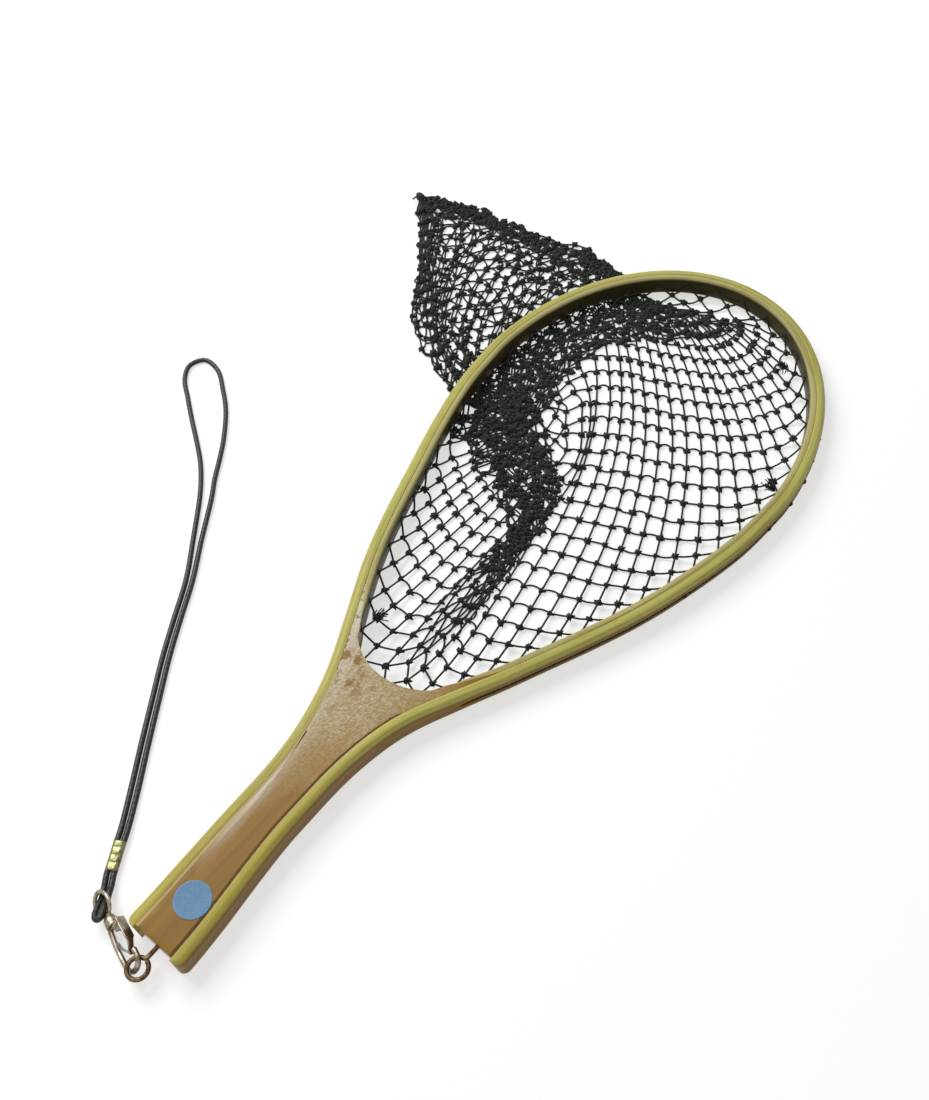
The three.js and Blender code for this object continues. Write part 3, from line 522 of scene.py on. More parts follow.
def edge_point(side, x, inset):
    """A point beside the frame's edge; side 1 is left, -1 is right."""
    rows = slice(0, TIP_ROW + 1) if side > 0 else slice(len(OUTLINE) - 1, TIP_ROW - 1, -1)
    edge = OUTLINE[rows]
    normal = INWARD[rows]
    y = np.interp(x, edge[:, 0], edge[:, 1])
    turn = np.array([np.interp(x, edge[:, 0], normal[:, k]) for k in (0, 1)])
    turn /= np.linalg.norm(turn)
    return np.array([x, y]) + turn * inset


def mouth_parts():
    """Inner edge of the hoop from left to right, and the round throat back from right to left."""
    centre = np.array([THROAT_X + THROAT_RADIUS, float(drift(THROAT_X))])
    inner = OUTLINE + INWARD * MOUTH_INSET
    inside = (inner[:, 0] >= centre[0]) | (np.linalg.norm(inner - centre, axis=1) <= THROAT_RADIUS)
    hoop = inner[inside & (inner[:, 0] > THROAT_X)]
    start = math.atan2(*(hoop[-1] - centre)[::-1]) % (2 * math.pi)
    end = math.atan2(*(hoop[0] - centre)[::-1]) % (2 * math.pi)
    turn = np.linspace(start, end, 26)[1:-1]
    return hoop, centre + THROAT_RADIUS * np.stack([np.cos(turn), np.sin(turn)], axis=1)


HOOP_EDGE, THROAT_EDGE = mouth_parts()
SCARF_ROOT_X = HOOP_EDGE[0][0]


def scarf_inset(x):
    """Where the core's horn ends and the inner strip begins, measured in from the frame's edge."""
    share = min(max((x - SCARF_ROOT_X) / (SCARF_X - SCARF_ROOT_X), 0.0), 1.0)
    return MOUTH_INSET + (OUTER_STRIP + GLUE + HORN_TIP - MOUTH_INSET) * share


# Mesh helpers
def deselect():
    if bpy.context.object and bpy.context.object.mode != "OBJECT":
        bpy.ops.object.mode_set(mode="OBJECT")
    bpy.ops.object.select_all(action="DESELECT")


def named(name):
    piece = bpy.context.object
    piece.name = name
    piece.data.name = name
    return piece


def closed_skin(name, rings, lengths, girth, round_closed=False, smooth_angle=50):
    """A skin over rows of rings in millimetres, started from a grid and closed by merging its seams."""
    rings = np.asarray(rings, float) * MM
    rings = np.concatenate([rings, rings[:, :1]], axis=1)
    if round_closed:
        rings = np.concatenate([rings, rings[:1]], axis=0)
    rows, sides = rings.shape[:2]
    deselect()
    bpy.ops.mesh.primitive_grid_add(x_subdivisions=sides - 1, y_subdivisions=rows - 1, size=1)
    piece = named(name)
    mesh = piece.data
    flat = np.empty(len(mesh.vertices) * 3)
    mesh.vertices.foreach_get("co", flat)
    flat = flat.reshape(-1, 3)
    column = np.rint((flat[:, 0] + 0.5) * (sides - 1)).astype(int)
    row = np.rint((flat[:, 1] + 0.5) * (rows - 1)).astype(int)
    mesh.vertices.foreach_set("co", rings[row, column].ravel())
    corner = np.empty(len(mesh.loops), int)
    mesh.loops.foreach_get("vertex_index", corner)
    grain = np.stack([np.asarray(lengths)[row[corner]], np.asarray(girth)[column[corner]]], axis=1) * MM
    mesh.uv_layers[0].data.foreach_set("uv", grain.ravel())
    bpy.ops.object.mode_set(mode="EDIT")
    bpy.ops.mesh.select_all(action="SELECT")
    bpy.ops.mesh.remove_doubles(threshold=1e-7)
    bpy.ops.mesh.dissolve_degenerate(threshold=1e-7)
    bpy.ops.mesh.fill_holes(sides=0)
    bpy.ops.mesh.select_all(action="SELECT")
    bpy.ops.mesh.normals_make_consistent(inside=False)
    bpy.ops.object.mode_set(mode="OBJECT")
    bpy.ops.object.shade_smooth_by_angle(angle=math.radians(smooth_angle))
    return piece


def girth_of(section):
    """Distance round a closed section, with the last place back at the start."""
    section = np.asarray(section, float)
    return along(np.vstack([section, section[:1]]))


def frames(path):
    """Two cross directions along a path that don't twist."""
    way = unit(np.gradient(path, axis=0))
    first = np.cross(way[0], [0.0, 0.0, 1.0])
    if np.linalg.norm(first) < 0.1:
        first = np.cross(way[0], [0.0, 1.0, 0.0])
    side = first / np.linalg.norm(first)
    sides = []
    for step in way:
        side = side - step * np.dot(side, step)
        side /= np.linalg.norm(side)
        sides.append(side)
    sides = np.array(sides)
    return sides, np.cross(way, sides)


def tube(name, path, radius, sides=12, dome=True):
    """A round rod along a path in millimetres, with domed ends unless it is said otherwise."""
    path = np.asarray(path, float)
    girth = round_girth(radius, sides)
    across, up = frames(path)
    size = np.full(len(path), float(radius))
    if dome:
        way = unit(np.gradient(path, axis=0))
        ends = []
        for end, sign in ((0, -1), (-1, 1)):
            reach = way[end] * sign * radius * TUBE_DOME_LONG
            ends.append([path[end] + reach * far for far, share in TUBE_DOME])
        dome_sizes = [radius * share for far, share in TUBE_DOME]
        path = np.vstack([ends[0][::-1], path, ends[1]])
        size = np.r_[dome_sizes[::-1], size, dome_sizes]
        across = np.vstack([across[:1]] * 3 + [across] + [across[-1:]] * 3)
        up = np.vstack([up[:1]] * 3 + [up] + [up[-1:]] * 3)
    turn = circle(sides)[None, :, None]
    ring = np.cos(turn) * across[:, None] + np.sin(turn) * up[:, None]
    rings = path[:, None] + ring * size[:, None, None]
    return closed_skin(name, rings, along(path), girth, smooth_angle=60)


def turned(name, profile, place=None, sides=40):
    """A turned piece along x from a profile of [x, radius], open profiles closing on the axis."""
    profile = np.asarray(profile, float)
    turn = circle(sides)[None]
    rings = np.stack([np.repeat(profile[:, :1], sides, axis=1), profile[:, 1:] * np.cos(turn),
                      profile[:, 1:] * np.sin(turn)], axis=2)
    ring_like = np.allclose(profile[0], profile[-1])
    if ring_like:
        rings = rings[:-1]
    girth = round_girth(profile[:, 1].max(), sides)
    piece = closed_skin(name, rings, along(profile), girth, round_closed=ring_like, smooth_angle=35)
    if place:
        piece.data.transform(place)
    return piece


def bevel(piece, width, segments, angle):
    """Rounds the edges that are sharper than an angle."""
    edge = piece.modifiers.new("edge", "BEVEL")
    edge.width = width * MM
    edge.segments = segments
    edge.limit_method = "ANGLE"
    edge.angle_limit = math.radians(angle)
    bpy.ops.object.modifier_apply(modifier=edge.name)


def soft_block(name, low, high, rounding):
    """A block with rounded edges, in millimetres."""
    low = Vector(low) * MM
    high = Vector(high) * MM
    deselect()
    bpy.ops.mesh.primitive_cube_add(size=1, location=(low + high) / 2)
    piece = named(name)
    piece.scale = high - low
    bpy.ops.object.transform_apply(location=True, rotation=True, scale=True)
    bevel(piece, rounding, 3, 30)
    bpy.ops.object.shade_smooth_by_angle(angle=math.radians(40))
    return piece


def joined(name, pieces):
    deselect()
    for piece in pieces:
        piece.select_set(True)
    bpy.context.view_layer.objects.active = pieces[0]
    bpy.ops.object.join()
    return named(name)


def raw_mesh(name, points, faces, chart):
    """A mesh of many small faces with equal numbers of corners, with its chart, in millimetres."""
    mesh = bpy.data.meshes.new(name)
    mesh.vertices.add(len(points))
    mesh.vertices.foreach_set("co", (points * MM).ravel())
    mesh.loops.add(faces.size)
    mesh.loops.foreach_set("vertex_index", faces.ravel().astype(np.int32))
    mesh.polygons.add(len(faces))
    mesh.polygons.foreach_set("loop_start", np.arange(0, faces.size, faces.shape[1], dtype=np.int32))
    mesh.polygons.foreach_set("use_smooth", np.ones(len(faces), bool))
    mesh.uv_layers.new(name="UVMap").data.foreach_set("uv", chart.ravel())
    mesh.update()
    mesh.validate()
    piece = bpy.data.objects.new(name, mesh)
    bpy.context.scene.collection.objects.link(piece)
    return piece


def dress(piece, body, slot, finish, *nodes):
    """Gives a piece its finish, its body unless it bends between two, and the solids that it stands for."""
    piece.data.materials.clear()
    piece.data.materials.append(finish)
    if body:
        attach(piece, body)
    if nodes:
        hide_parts(*nodes)


# Node helpers
def tint(red, green, blue):
    """A screen colour from 0 to 255 as a linear one."""
    out = []
    for value in (red, green, blue):
        share = value / 255
        out.append(share / 12.92 if share <= 0.04045 else ((share + 0.055) / 1.055) ** 2.4)
    return (*out, 1.0)


def lit(colour, share):
    """A colour made lighter or darker."""
    return tuple(min(part * share, 1) for part in colour)


def grey(value):
    return (value, value, value, 1.0)


def new_finish(name):
    finish = bpy.data.materials.new(name)
    finish.use_nodes = True
    return finish, finish.node_tree, finish.node_tree.nodes["Principled BSDF"]


def feed(tree, node, inputs):
    """Links a node's inputs to sockets, or sets them to plain values."""
    for key, value in inputs.items():
        if isinstance(value, bpy.types.NodeSocket):
            tree.links.new(value, node.inputs[key])
        else:
            node.inputs[key].default_value = value


def put(tree, kind, inputs=None, **settings):
    node = tree.nodes.new(kind)
    for key, value in settings.items():
        setattr(node, key, value)
    feed(tree, node, inputs or {})
    return node


def coords(tree, chart, scale=1, turn=(0, 0, 0), shift=(0, 0, 0), kind="POINT"):
    """A chart, scaled alike or axis by axis, turned and shifted."""
    source = put(tree, "ShaderNodeTexCoord")
    size = scale if isinstance(scale, tuple) else (scale, scale, scale)
    mapped = put(tree, "ShaderNodeMapping", {"Vector": source.outputs[chart], "Scale": size, "Rotation": turn,
                                             "Location": shift}, vector_type=kind)
    return mapped.outputs["Vector"]


def axes(tree, chart):
    """The separate X, Y and Z of a chart."""
    source = put(tree, "ShaderNodeTexCoord")
    return put(tree, "ShaderNodeSeparateXYZ", {"Vector": source.outputs[chart]}).outputs


def noise(tree, chart, scale, detail=4.0, rough=0.55, warp=0.0, **mapping):
    node = put(tree, "ShaderNodeTexNoise", {"Vector": coords(tree, chart, scale, **mapping), "Scale": 1.0,
                                            "Detail": detail, "Roughness": rough, "Distortion": warp})
    return node.outputs["Fac"]


def ramp(tree, source, stops):
    node = put(tree, "ShaderNodeValToRGB", {"Fac": source})
    bar = node.color_ramp
    while len(bar.elements) < len(stops):
        bar.elements.new(0.5)
    for element, (place, colour) in zip(bar.elements, stops):
        element.position = place
        element.color = colour
    return node.outputs["Color"]


def shades(tree, source, *stops):
    """A ramp of greys from stops of place and value."""
    return ramp(tree, source, [(place, grey(value)) for place, value in stops])


def span(tree, value, low, high, start=0.0, end=1.0):
    """Goes from start to end while a value goes from low to high, and stays there."""
    node = put(tree, "ShaderNodeMapRange", {"Value": value, "From Min": low, "From Max": high,
                                            "To Min": start, "To Max": end})
    return node.outputs["Result"]


def blended(tree, share, first, second, kind="MIX"):
    node = put(tree, "ShaderNodeMix", {0: share, 6: first, 7: second}, data_type="RGBA", blend_type=kind,
               clamp_factor=True)
    return node.outputs[2]


def shaded(tree, share, first, second):
    return blended(tree, share, first, second, "MULTIPLY")


def sums(tree, kind, *values, clamp=False):
    return put(tree, "ShaderNodeMath", dict(enumerate(values)), operation=kind, use_clamp=clamp).outputs[0]


def plus(tree, first, second, clamp=False):
    return sums(tree, "ADD", first, second, clamp=clamp)


def minus(tree, first, second):
    return sums(tree, "SUBTRACT", first, second)


def times(tree, first, *others):
    for other in others:
        first = sums(tree, "MULTIPLY", first, other)
    return first


def bump(tree, height, distance, strength):
    node = put(tree, "ShaderNodeBump", {"Height": height, "Distance": distance, "Strength": strength})
    return node.outputs["Normal"]


# Finishes
def strip_wood(name, light, dark, pore, coat, wall=None):
    """Varnished bent strip with streaks and pores along it; a wall is a darker colour for the wall, which is
    painted shade, with its start and its end.
    """
    finish, tree, shader = new_finish(name)
    broad = noise(tree, "UV", (11, 520, 1), detail=6, rough=0.62, warp=0.25)
    fine = noise(tree, "UV", (32, 2300, 1), detail=3, rough=0.5)
    pores = noise(tree, "UV", (150, 4200, 1), detail=2, shift=(3.1, 7.7, 0))
    patch = noise(tree, "Object", 11, detail=3)
    base = ramp(tree, broad, [(0.3, dark), (0.5, light), (0.8, lit(light, 1.1))])
    streak = shades(tree, fine, (0.36, 0.78), (0.6, 1.0))
    speck = shades(tree, pores, (0.6, 0.0), (0.7, 0.7))
    worn = blended(tree, speck, shaded(tree, 0.6, base, streak), pore)
    shade = shaded(tree, 0.7, worn, shades(tree, patch, (0.35, 0.84), (0.65, 1.0)))
    butt = span(tree, axes(tree, "Object")["X"], 0.09, -0.04)
    shade = shaded(tree, times(tree, butt, patch), shade, tint(255, 228, 130))
    # Band of the wall in a darker colour: painted shade on the inner wall, and painted shade over a browner
    # tone on the outer wall.
    if wall:
        tone, low, high = wall
        half = (high - low) / 2
        off_middle = sums(tree, "ABSOLUTE", minus(tree, axes(tree, "UV")["Y"], (low + high) / 2))
        ragged = plus(tree, off_middle, times(tree, patch, 0.0012))
        side = times(tree, span(tree, ragged, half + 0.0011, half - 0.0004), 0.96)
        shade = blended(tree, side, shade, shaded(tree, 0.7, tone, streak))
    height = minus(tree, fine, times(tree, speck, 0.6))
    feed(tree, shader, {"Base Color": shade, "Roughness": shades(tree, fine, (0.3, 0.46), (0.7, 0.32)),
                        "Normal": bump(tree, height, 0.0001, 0.5), "Coat Weight": coat, "Coat Roughness": 0.2,
                        "Specular IOR Level": 0.1})
    return finish


def core_wood(name, brown, dark, worn):
    """Brown core, clean at the butt, with whitened varnish and painted glare on its pores, painted glare
    along its left edge, and bare spots towards the throat.
    """
    finish, tree, shader = new_finish(name)
    place = axes(tree, "Object")
    broad = noise(tree, "Object", (7, 120, 60), detail=5, warp=0.4)
    fine = noise(tree, "Object", (45, 1300, 800), detail=3)
    base = ramp(tree, broad, [(0.25, dark), (0.5, brown), (0.85, lit(brown, 1.12))])
    toned = shaded(tree, 0.55, base, shades(tree, fine, (0.35, 0.84), (0.62, 1.0)))
    # Whitened varnish with painted glare, and rougher wear, grow towards the throat and the left side, in
    # blotches
    reach = span(tree, place["X"], 0.01, 0.085)
    lean = times(tree, minus(tree, place["Y"], 0.002), 26.0)
    blotch = noise(tree, "Object", (26, 60, 40), rough=0.6)
    fade = plus(tree, plus(tree, reach, lean), times(tree, minus(tree, blotch, 0.5), 1.1), clamp=True)
    # Pale dashes in two directions: painted glare on the open pores
    dashes = []
    for turn, shift in ((-72, 0.0), (-18, 0.3)):
        dashes.append(noise(tree, "Object", (0.0026, 0.0007, 0.0016), detail=3, rough=0.62, kind="TEXTURE",
                            turn=(0, 0, math.radians(turn)), shift=(shift, 0, 0)))
    glare_fleck = sums(tree, "MAXIMUM", *dashes)
    glare_mask = times(tree, shades(tree, glare_fleck, (0.5, 0.0), (0.62, 1.0)), fade)
    whitened_and_glared = blended(tree, times(tree, fade, 0.45), toned, worn)
    glare_flecked = blended(tree, times(tree, glare_mask, 0.7), whitened_and_glared, tint(212, 202, 176))
    # Left edge, whitened in streaks by painted glare
    chart = axes(tree, "UV")
    edge = span(tree, chart["Y"], GLARE_FROM, GLARE_TO)
    top = span(tree, chart["Y"], GLARE_END + GLARE_FADE, GLARE_END)
    start = span(tree, place["X"], -0.035, 0.012)
    fine_streaks = shades(tree, noise(tree, "UV", (55, 1100, 1), rough=0.65), (0.36, 0.0), (0.5, 0.95))
    glare_flecked = blended(tree, times(tree, fine_streaks, edge, start, top), glare_flecked, tint(218, 211, 192))
    # Darker bare spots beside the throat
    spots = noise(tree, "Object", (120, 170, 100), detail=5, rough=0.7, shift=(2.2, 0.7, 0))
    near = times(tree, span(tree, place["X"], 0.055, 0.085), span(tree, place["Y"], -0.004, 0.014))
    bare = times(tree, shades(tree, spots, (0.52, 0.0), (0.6, 0.85)), near)
    feed(tree, shader, {"Base Color": blended(tree, bare, glare_flecked, lit(brown, 0.8)),
                        "Roughness": shades(tree, fade, (0.0, 0.34), (1.0, 0.55)),
                        "Normal": bump(tree, plus(tree, fine, glare_mask), 0.00014, 0.5), "Coat Weight": 0.06,
                        "Coat Roughness": 0.25, "Specular IOR Level": 0.18})
    return finish


def laid_twine(name, dark, light, pitch):
    """Laid twine: slanting strands on the twine's own chart."""
    finish, tree, shader = new_finish(name)
    chart = axes(tree, "UV")
    slant = plus(tree, times(tree, chart["X"], 2 * math.pi / pitch), times(tree, chart["Y"], 2 * math.pi * 2))
    strand = sums(tree, "MULTIPLY_ADD", sums(tree, "SINE", slant), 0.5, 0.5)
    fibre = noise(tree, "Object", 1800, detail=3)
    patch = noise(tree, "Object", 60, detail=3)
    shade = blended(tree, shades(tree, strand, (0.1, 0.0), (0.8, 1.0)), dark, light)
    shade = shaded(tree, 0.8, shade, shades(tree, fibre, (0.3, 0.7), (0.7, 1.2)))
    shade = shaded(tree, 0.8, shade, shades(tree, patch, (0.35, 0.8), (0.65, 1.1)))
    height = plus(tree, strand, times(tree, fibre, 0.5))
    feed(tree, shader, {"Base Color": shade, "Roughness": shades(tree, fibre, (0.3, 0.8), (0.7, 0.64)),
                        "Normal": bump(tree, height, 0.00022, 0.8), "Specular IOR Level": 0.2,
                        "Sheen Weight": 0.05, "Sheen Roughness": 0.5})
    return finish


def braided_cord(name, dark, light):
    """Smooth waxed cord with a fine braid."""
    finish, tree, shader = new_finish(name)
    chart = axes(tree, "UV")
    run = times(tree, chart["X"], 2 * math.pi / BRAID_PITCH)
    girth = times(tree, chart["Y"], 2 * math.pi * BRAID_STRANDS / BRAID_ROUND)
    weave = sums(tree, "MAXIMUM", sums(tree, "SINE", plus(tree, run, girth)),
                 sums(tree, "SINE", minus(tree, run, girth)))
    fibre = noise(tree, "Object", 900, detail=3)
    shade = ramp(tree, plus(tree, times(tree, weave, 0.25), fibre), [(0.3, dark), (0.9, light)])
    height = plus(tree, weave, times(tree, fibre, 0.4))
    feed(tree, shader, {"Base Color": shade, "Roughness": shades(tree, fibre, (0.3, 0.42), (0.7, 0.3)),
                        "Normal": bump(tree, height, 0.00006, 0.7), "Specular IOR Level": 0.35})
    return finish


def worn_metal(name, bright, dull, rough, spots, hammer=0.0):
    """Plated or bare metal with dull spots, fine scratches and, where asked, small dents."""
    finish, tree, shader = new_finish(name)
    cloud = noise(tree, "Object", 220, detail=5, rough=0.65)
    fine_streaks = noise(tree, "Object", (900, 300, 2200), detail=3, turn=(0.4, 0.2, 0.7))
    stain = shades(tree, cloud, (spots - 0.08, 0.0), (spots + 0.1, 1.0))
    shine = plus(tree, times(tree, stain, 0.18), times(tree, fine_streaks, rough))
    height = times(tree, fine_streaks, 0.3)
    if hammer:
        cells = put(tree, "ShaderNodeTexVoronoi", {"Vector": coords(tree, "Object"), "Scale": hammer})
        height = plus(tree, height, cells.outputs["Distance"])
    feed(tree, shader, {"Base Color": blended(tree, stain, bright, dull), "Metallic": 1.0,
                        "Roughness": plus(tree, shine, rough * 0.5),
                        "Normal": bump(tree, height, 0.00015, 0.6)})
    return finish


def distance_from(tree, point):
    """How far a place is from a point, in metres."""
    moved = coords(tree, "Object", shift=tuple(-part for part in point))
    return put(tree, "ShaderNodeVectorMath", {0: moved}, operation="LENGTH").outputs["Value"]


def dot_paper(name, blue, pale):
    """Matt paper with faint fibres, rubbed paler towards its rim."""
    finish, tree, shader = new_finish(name)
    away = distance_from(tree, (DOT_AT[0] * MM, DOT_AT[1] * MM, HANDLE_THICK * MM))
    rim = times(tree, span(tree, away, 0.0088, 0.0096), 0.5)
    fibre = noise(tree, "Object", (1400, 900, 900), turn=(0, 0, 0.6))
    patch = noise(tree, "Object", 160, detail=3)
    toned = blended(tree, shades(tree, fibre, (0.35, 0.0), (0.75, 0.28)), blue, pale)
    clouded = blended(tree, shades(tree, patch, (0.4, 0.0), (0.7, 0.2)), toned, pale)
    feed(tree, shader, {"Base Color": blended(tree, rim, clouded, pale),
                        "Roughness": shades(tree, fibre, (0.3, 0.62), (0.7, 0.5)),
                        "Normal": bump(tree, fibre, 0.00004, 0.4)})
    return finish


# Settings that a user would change
def colour_prop(name, description, red, green, blue):
    return bpy.props.FloatVectorProperty(name=name, description=description, subtype="COLOR", size=4,
                                         min=0.0, max=1.0, default=tint(red, green, blue))


def length_prop(name, description, size, low, high):
    """A length, given in millimetres and kept in metres."""
    return bpy.props.FloatProperty(name=name, description=description, subtype="DISTANCE", unit="LENGTH",
                                   min=low * MM, max=high * MM, default=size * MM)


class NetWoodSettings(bpy.types.PropertyGroup):
    """Colours and edges of the wooden frame"""
    ash: colour_prop("Ash", "Colour of the outer bent strip", 194, 188, 104)
    ash_dark: colour_prop("Ash grain", "Darker grain of the outer strip", 164, 152, 70)
    pale: colour_prop("Pale ash", "Colour of the inner strip", 190, 180, 120)
    pale_dark: colour_prop("Pale grain", "Darker grain of the inner strip", 160, 142, 78)
    core: colour_prop("Core", "Varnished brown of the handle's core", 147, 107, 28)
    core_dark: colour_prop("Core grain", "Dark grain of the core", 128, 92, 26)
    # Worn varnish: whitened varnish with painted glare on the pores near the throat.
    core_wear_and_glare: colour_prop("Worn varnish", "Whitened pores near the throat", 184, 172, 134)
    # Outer wall: partly the strip's own browner tone, partly painted shade.
    wall: colour_prop("Outer wall", "Browned outer wall of the strip", 132, 92, 10)
    # Inner wall: painted shade, a dark colour where the hoop's inner wall lies in shadow.
    inner_wall_shade: colour_prop("Inner wall", "Stained inner wall of the hoop", 62, 54, 26)
    accent: colour_prop("Accent", "Dark line between core and right strip", 104, 72, 30)
    # Pale accent: a thin line of wood, its pale pinkish colour painted glare along the left joint.
    accent_pale_glare: colour_prop("Pale accent", "Rosy line between core and left strip", 204, 184, 142)
    outer_round: length_prop("Outer rounding", "Radius of the outer strip's edges", OUTER_ROUND, 0.5, 5)


class NetBagSettings(bpy.types.PropertyGroup):
    """Twine and drape of the bag"""
    twine: length_prop("Twine", "Diameter of the bag's twine", 1.25, 0.5, 4)
    knot: length_prop("Knot", "Width of a knot", 4.9, 1, 8)
    settle: bpy.props.IntProperty(name="Settling steps", description="Steps in which the laid bag settles",
                                  default=50, min=0, max=200)
    dark: colour_prop("Twine shade", "Dark side of the twine's strands", 19, 23, 20)
    light: colour_prop("Twine light", "Light side of the twine's strands", 58, 65, 58)


class NetMetalSettings(bpy.types.PropertyGroup):
    """Colours of the fittings"""
    nickel: colour_prop("Nickel", "Plating of the snap", 164, 154, 138)
    nickel_dull: colour_prop("Dull nickel", "Worn places of the plating", 108, 90, 66)
    steel: colour_prop("Steel", "Screw eye", 108, 88, 66)
    steel_dull: colour_prop("Rusty steel", "Stained places of the screw eye", 70, 48, 32)
    brass: colour_prop("Brass", "Crimp of the lanyard", 122, 121, 86)
    brass_dull: colour_prop("Dull brass", "Worn places of the crimp", 84, 80, 52)


class NetLanyardSettings(bpy.types.PropertyGroup):
    """Cord of the lanyard, and the paper dot"""
    cord: length_prop("Cord", "Diameter of the lanyard's cord", CORD_D, 1, 6)
    dark: colour_prop("Cord shade", "Dark of the cord", 12, 12, 12)
    light: colour_prop("Cord light", "Light of the cord", 34, 34, 33)
    dot: colour_prop("Dot", "Paper dot on the handle", 80, 125, 163)
    dot_pale: colour_prop("Dot fibres", "Pale fibres of the paper", 122, 157, 182)


class NetStageSettings(bpy.types.PropertyGroup):
    """Floor, light and camera"""
    floor: colour_prop("Floor", "Colour of the floor", 250, 250, 249)
    key: bpy.props.FloatProperty(name="Key lamp", description="Power of the large lamp", default=27.0,
                                 min=0.0, max=200.0, subtype="POWER", unit="POWER")
    sky: bpy.props.FloatProperty(name="Sky", description="Strength of the even light all round", default=0.3,
                                 min=0.0, max=2.0)
    lens: bpy.props.FloatProperty(name="Lens", description="Focal length for a 36 mm tall sensor",
                                  default=37.636, min=10.0, max=200.0, subtype="DISTANCE_CAMERA",
                                  unit="CAMERA")


# Stage
class NET_OT_stage(bpy.types.Operator):
    """Floor, soft light and the photograph's camera"""
    bl_idname = "landing_net.stage"
    bl_label = "Stage"

    def execute(self, context):
        settings = context.scene.net_stage
        self.camera(context, settings)
        self.floor(settings)
        self.light(context, settings)
        context.scene.view_settings.view_transform = "Standard"
        return {"FINISHED"}

    def camera(self, context, settings):
        right = Vector(CAMERA_RIGHT).normalized()
        forward = Vector(CAMERA_FORWARD)
        forward = (forward - right * forward.dot(right)).normalized()
        up = right.cross(forward)
        deselect()
        bpy.ops.object.camera_add()
        camera = named("photo_camera")
        turn = Matrix((right, up, -forward)).transposed().to_4x4()
        camera.matrix_world = Matrix.Translation(CAMERA_AT) @ turn
        camera.data.sensor_width = SENSOR_MM
        camera.data.lens = settings.lens
        camera.data.clip_start = 0.01
        context.scene.camera = camera

    def floor(self, settings):
        """A pale floor that shows white far from the object, and the object's shadow near it."""
        deselect()
        bpy.ops.mesh.primitive_plane_add(size=FLOOR_WIDE, location=STAGE_MIDDLE)
        floor = named("floor")
        bpy.ops.object.transform_apply(location=True, rotation=True, scale=True)
        finish, tree, shader = new_finish("studio_floor")
        feed(tree, shader, {"Base Color": settings.floor, "Roughness": 0.9, "Specular IOR Level": 0.1})
        glow = put(tree, "ShaderNodeEmission", {"Color": grey(1.0), "Strength": 1.2})
        ray = put(tree, "ShaderNodeLightPath").outputs
        seen = plus(tree, ray["Is Camera Ray"], ray["Is Glossy Ray"], clamp=True)
        seen = plus(tree, seen, ray["Is Transmission Ray"], clamp=True)
        share = times(tree, seen, span(tree, distance_from(tree, STAGE_MIDDLE), 0.4, 1.3, 0.5, 1.0))
        mix = put(tree, "ShaderNodeMixShader", {0: share, 1: shader.outputs[0], 2: glow.outputs[0]})
        tree.links.new(mix.outputs[0], tree.nodes["Material Output"].inputs["Surface"])
        floor.data.materials.append(finish)

    def light(self, context, settings):
        """Even light all round, a large key lamp and a weak fill lamp."""
        world = bpy.data.worlds.new("studio_sky")
        context.scene.world = world
        world.use_nodes = True
        tree = world.node_tree
        ray = put(tree, "ShaderNodeLightPath").outputs
        seen = plus(tree, ray["Is Camera Ray"], ray["Is Glossy Ray"], clamp=True)
        level = span(tree, seen, 0.0, 1.0, settings.sky, 1.0)
        feed(tree, tree.nodes["Background"], {"Color": grey(1.0), "Strength": level})
        for name, place, size, share in LAMPS:
            deselect()
            bpy.ops.object.light_add(type="AREA", location=place)
            lamp = named(name)
            lamp.data.energy = settings.key * share
            lamp.data.size = size
            aim = Vector(STAGE_MIDDLE) - Vector(place)
            lamp.rotation_euler = aim.to_track_quat("-Z", "Y").to_euler()


# Lanyard, and the place of the snap that it goes to
def leg_point(base, far, side, z):
    """A point that far along the crimp from one of its ends, and to the side of its middle."""
    way = (CRIMP_TO - CRIMP_FROM) / np.linalg.norm(CRIMP_TO - CRIMP_FROM)
    across = np.array([-way[1], way[0]])
    return np.r_[base + way * far + across * side, z]


def leg_ends(base, steps):
    """Where the cord's two legs run at one end of the crimp, from steps of distance and height."""
    return [[leg_point(base, far, side * LEG_SPREAD, z) for far, z in steps] for side in (1, -1)]


def snap_frame():
    """Place and directions of the snap: along it, towards its gate, and across."""
    level = Vector((math.sin(SNAP_TURN), -math.cos(SNAP_TURN), 0.0))
    way = Vector((math.cos(SNAP_TURN) * math.cos(SNAP_DROOP), math.sin(SNAP_TURN) * math.cos(SNAP_DROOP),
                  -math.sin(SNAP_DROOP)))
    gate = level * math.cos(SNAP_TILT) + level.cross(way) * math.sin(SNAP_TILT)
    turn = Matrix((way, gate, way.cross(gate))).transposed().to_4x4()
    return Matrix.Translation(SNAP_ORIGIN * MM) @ turn


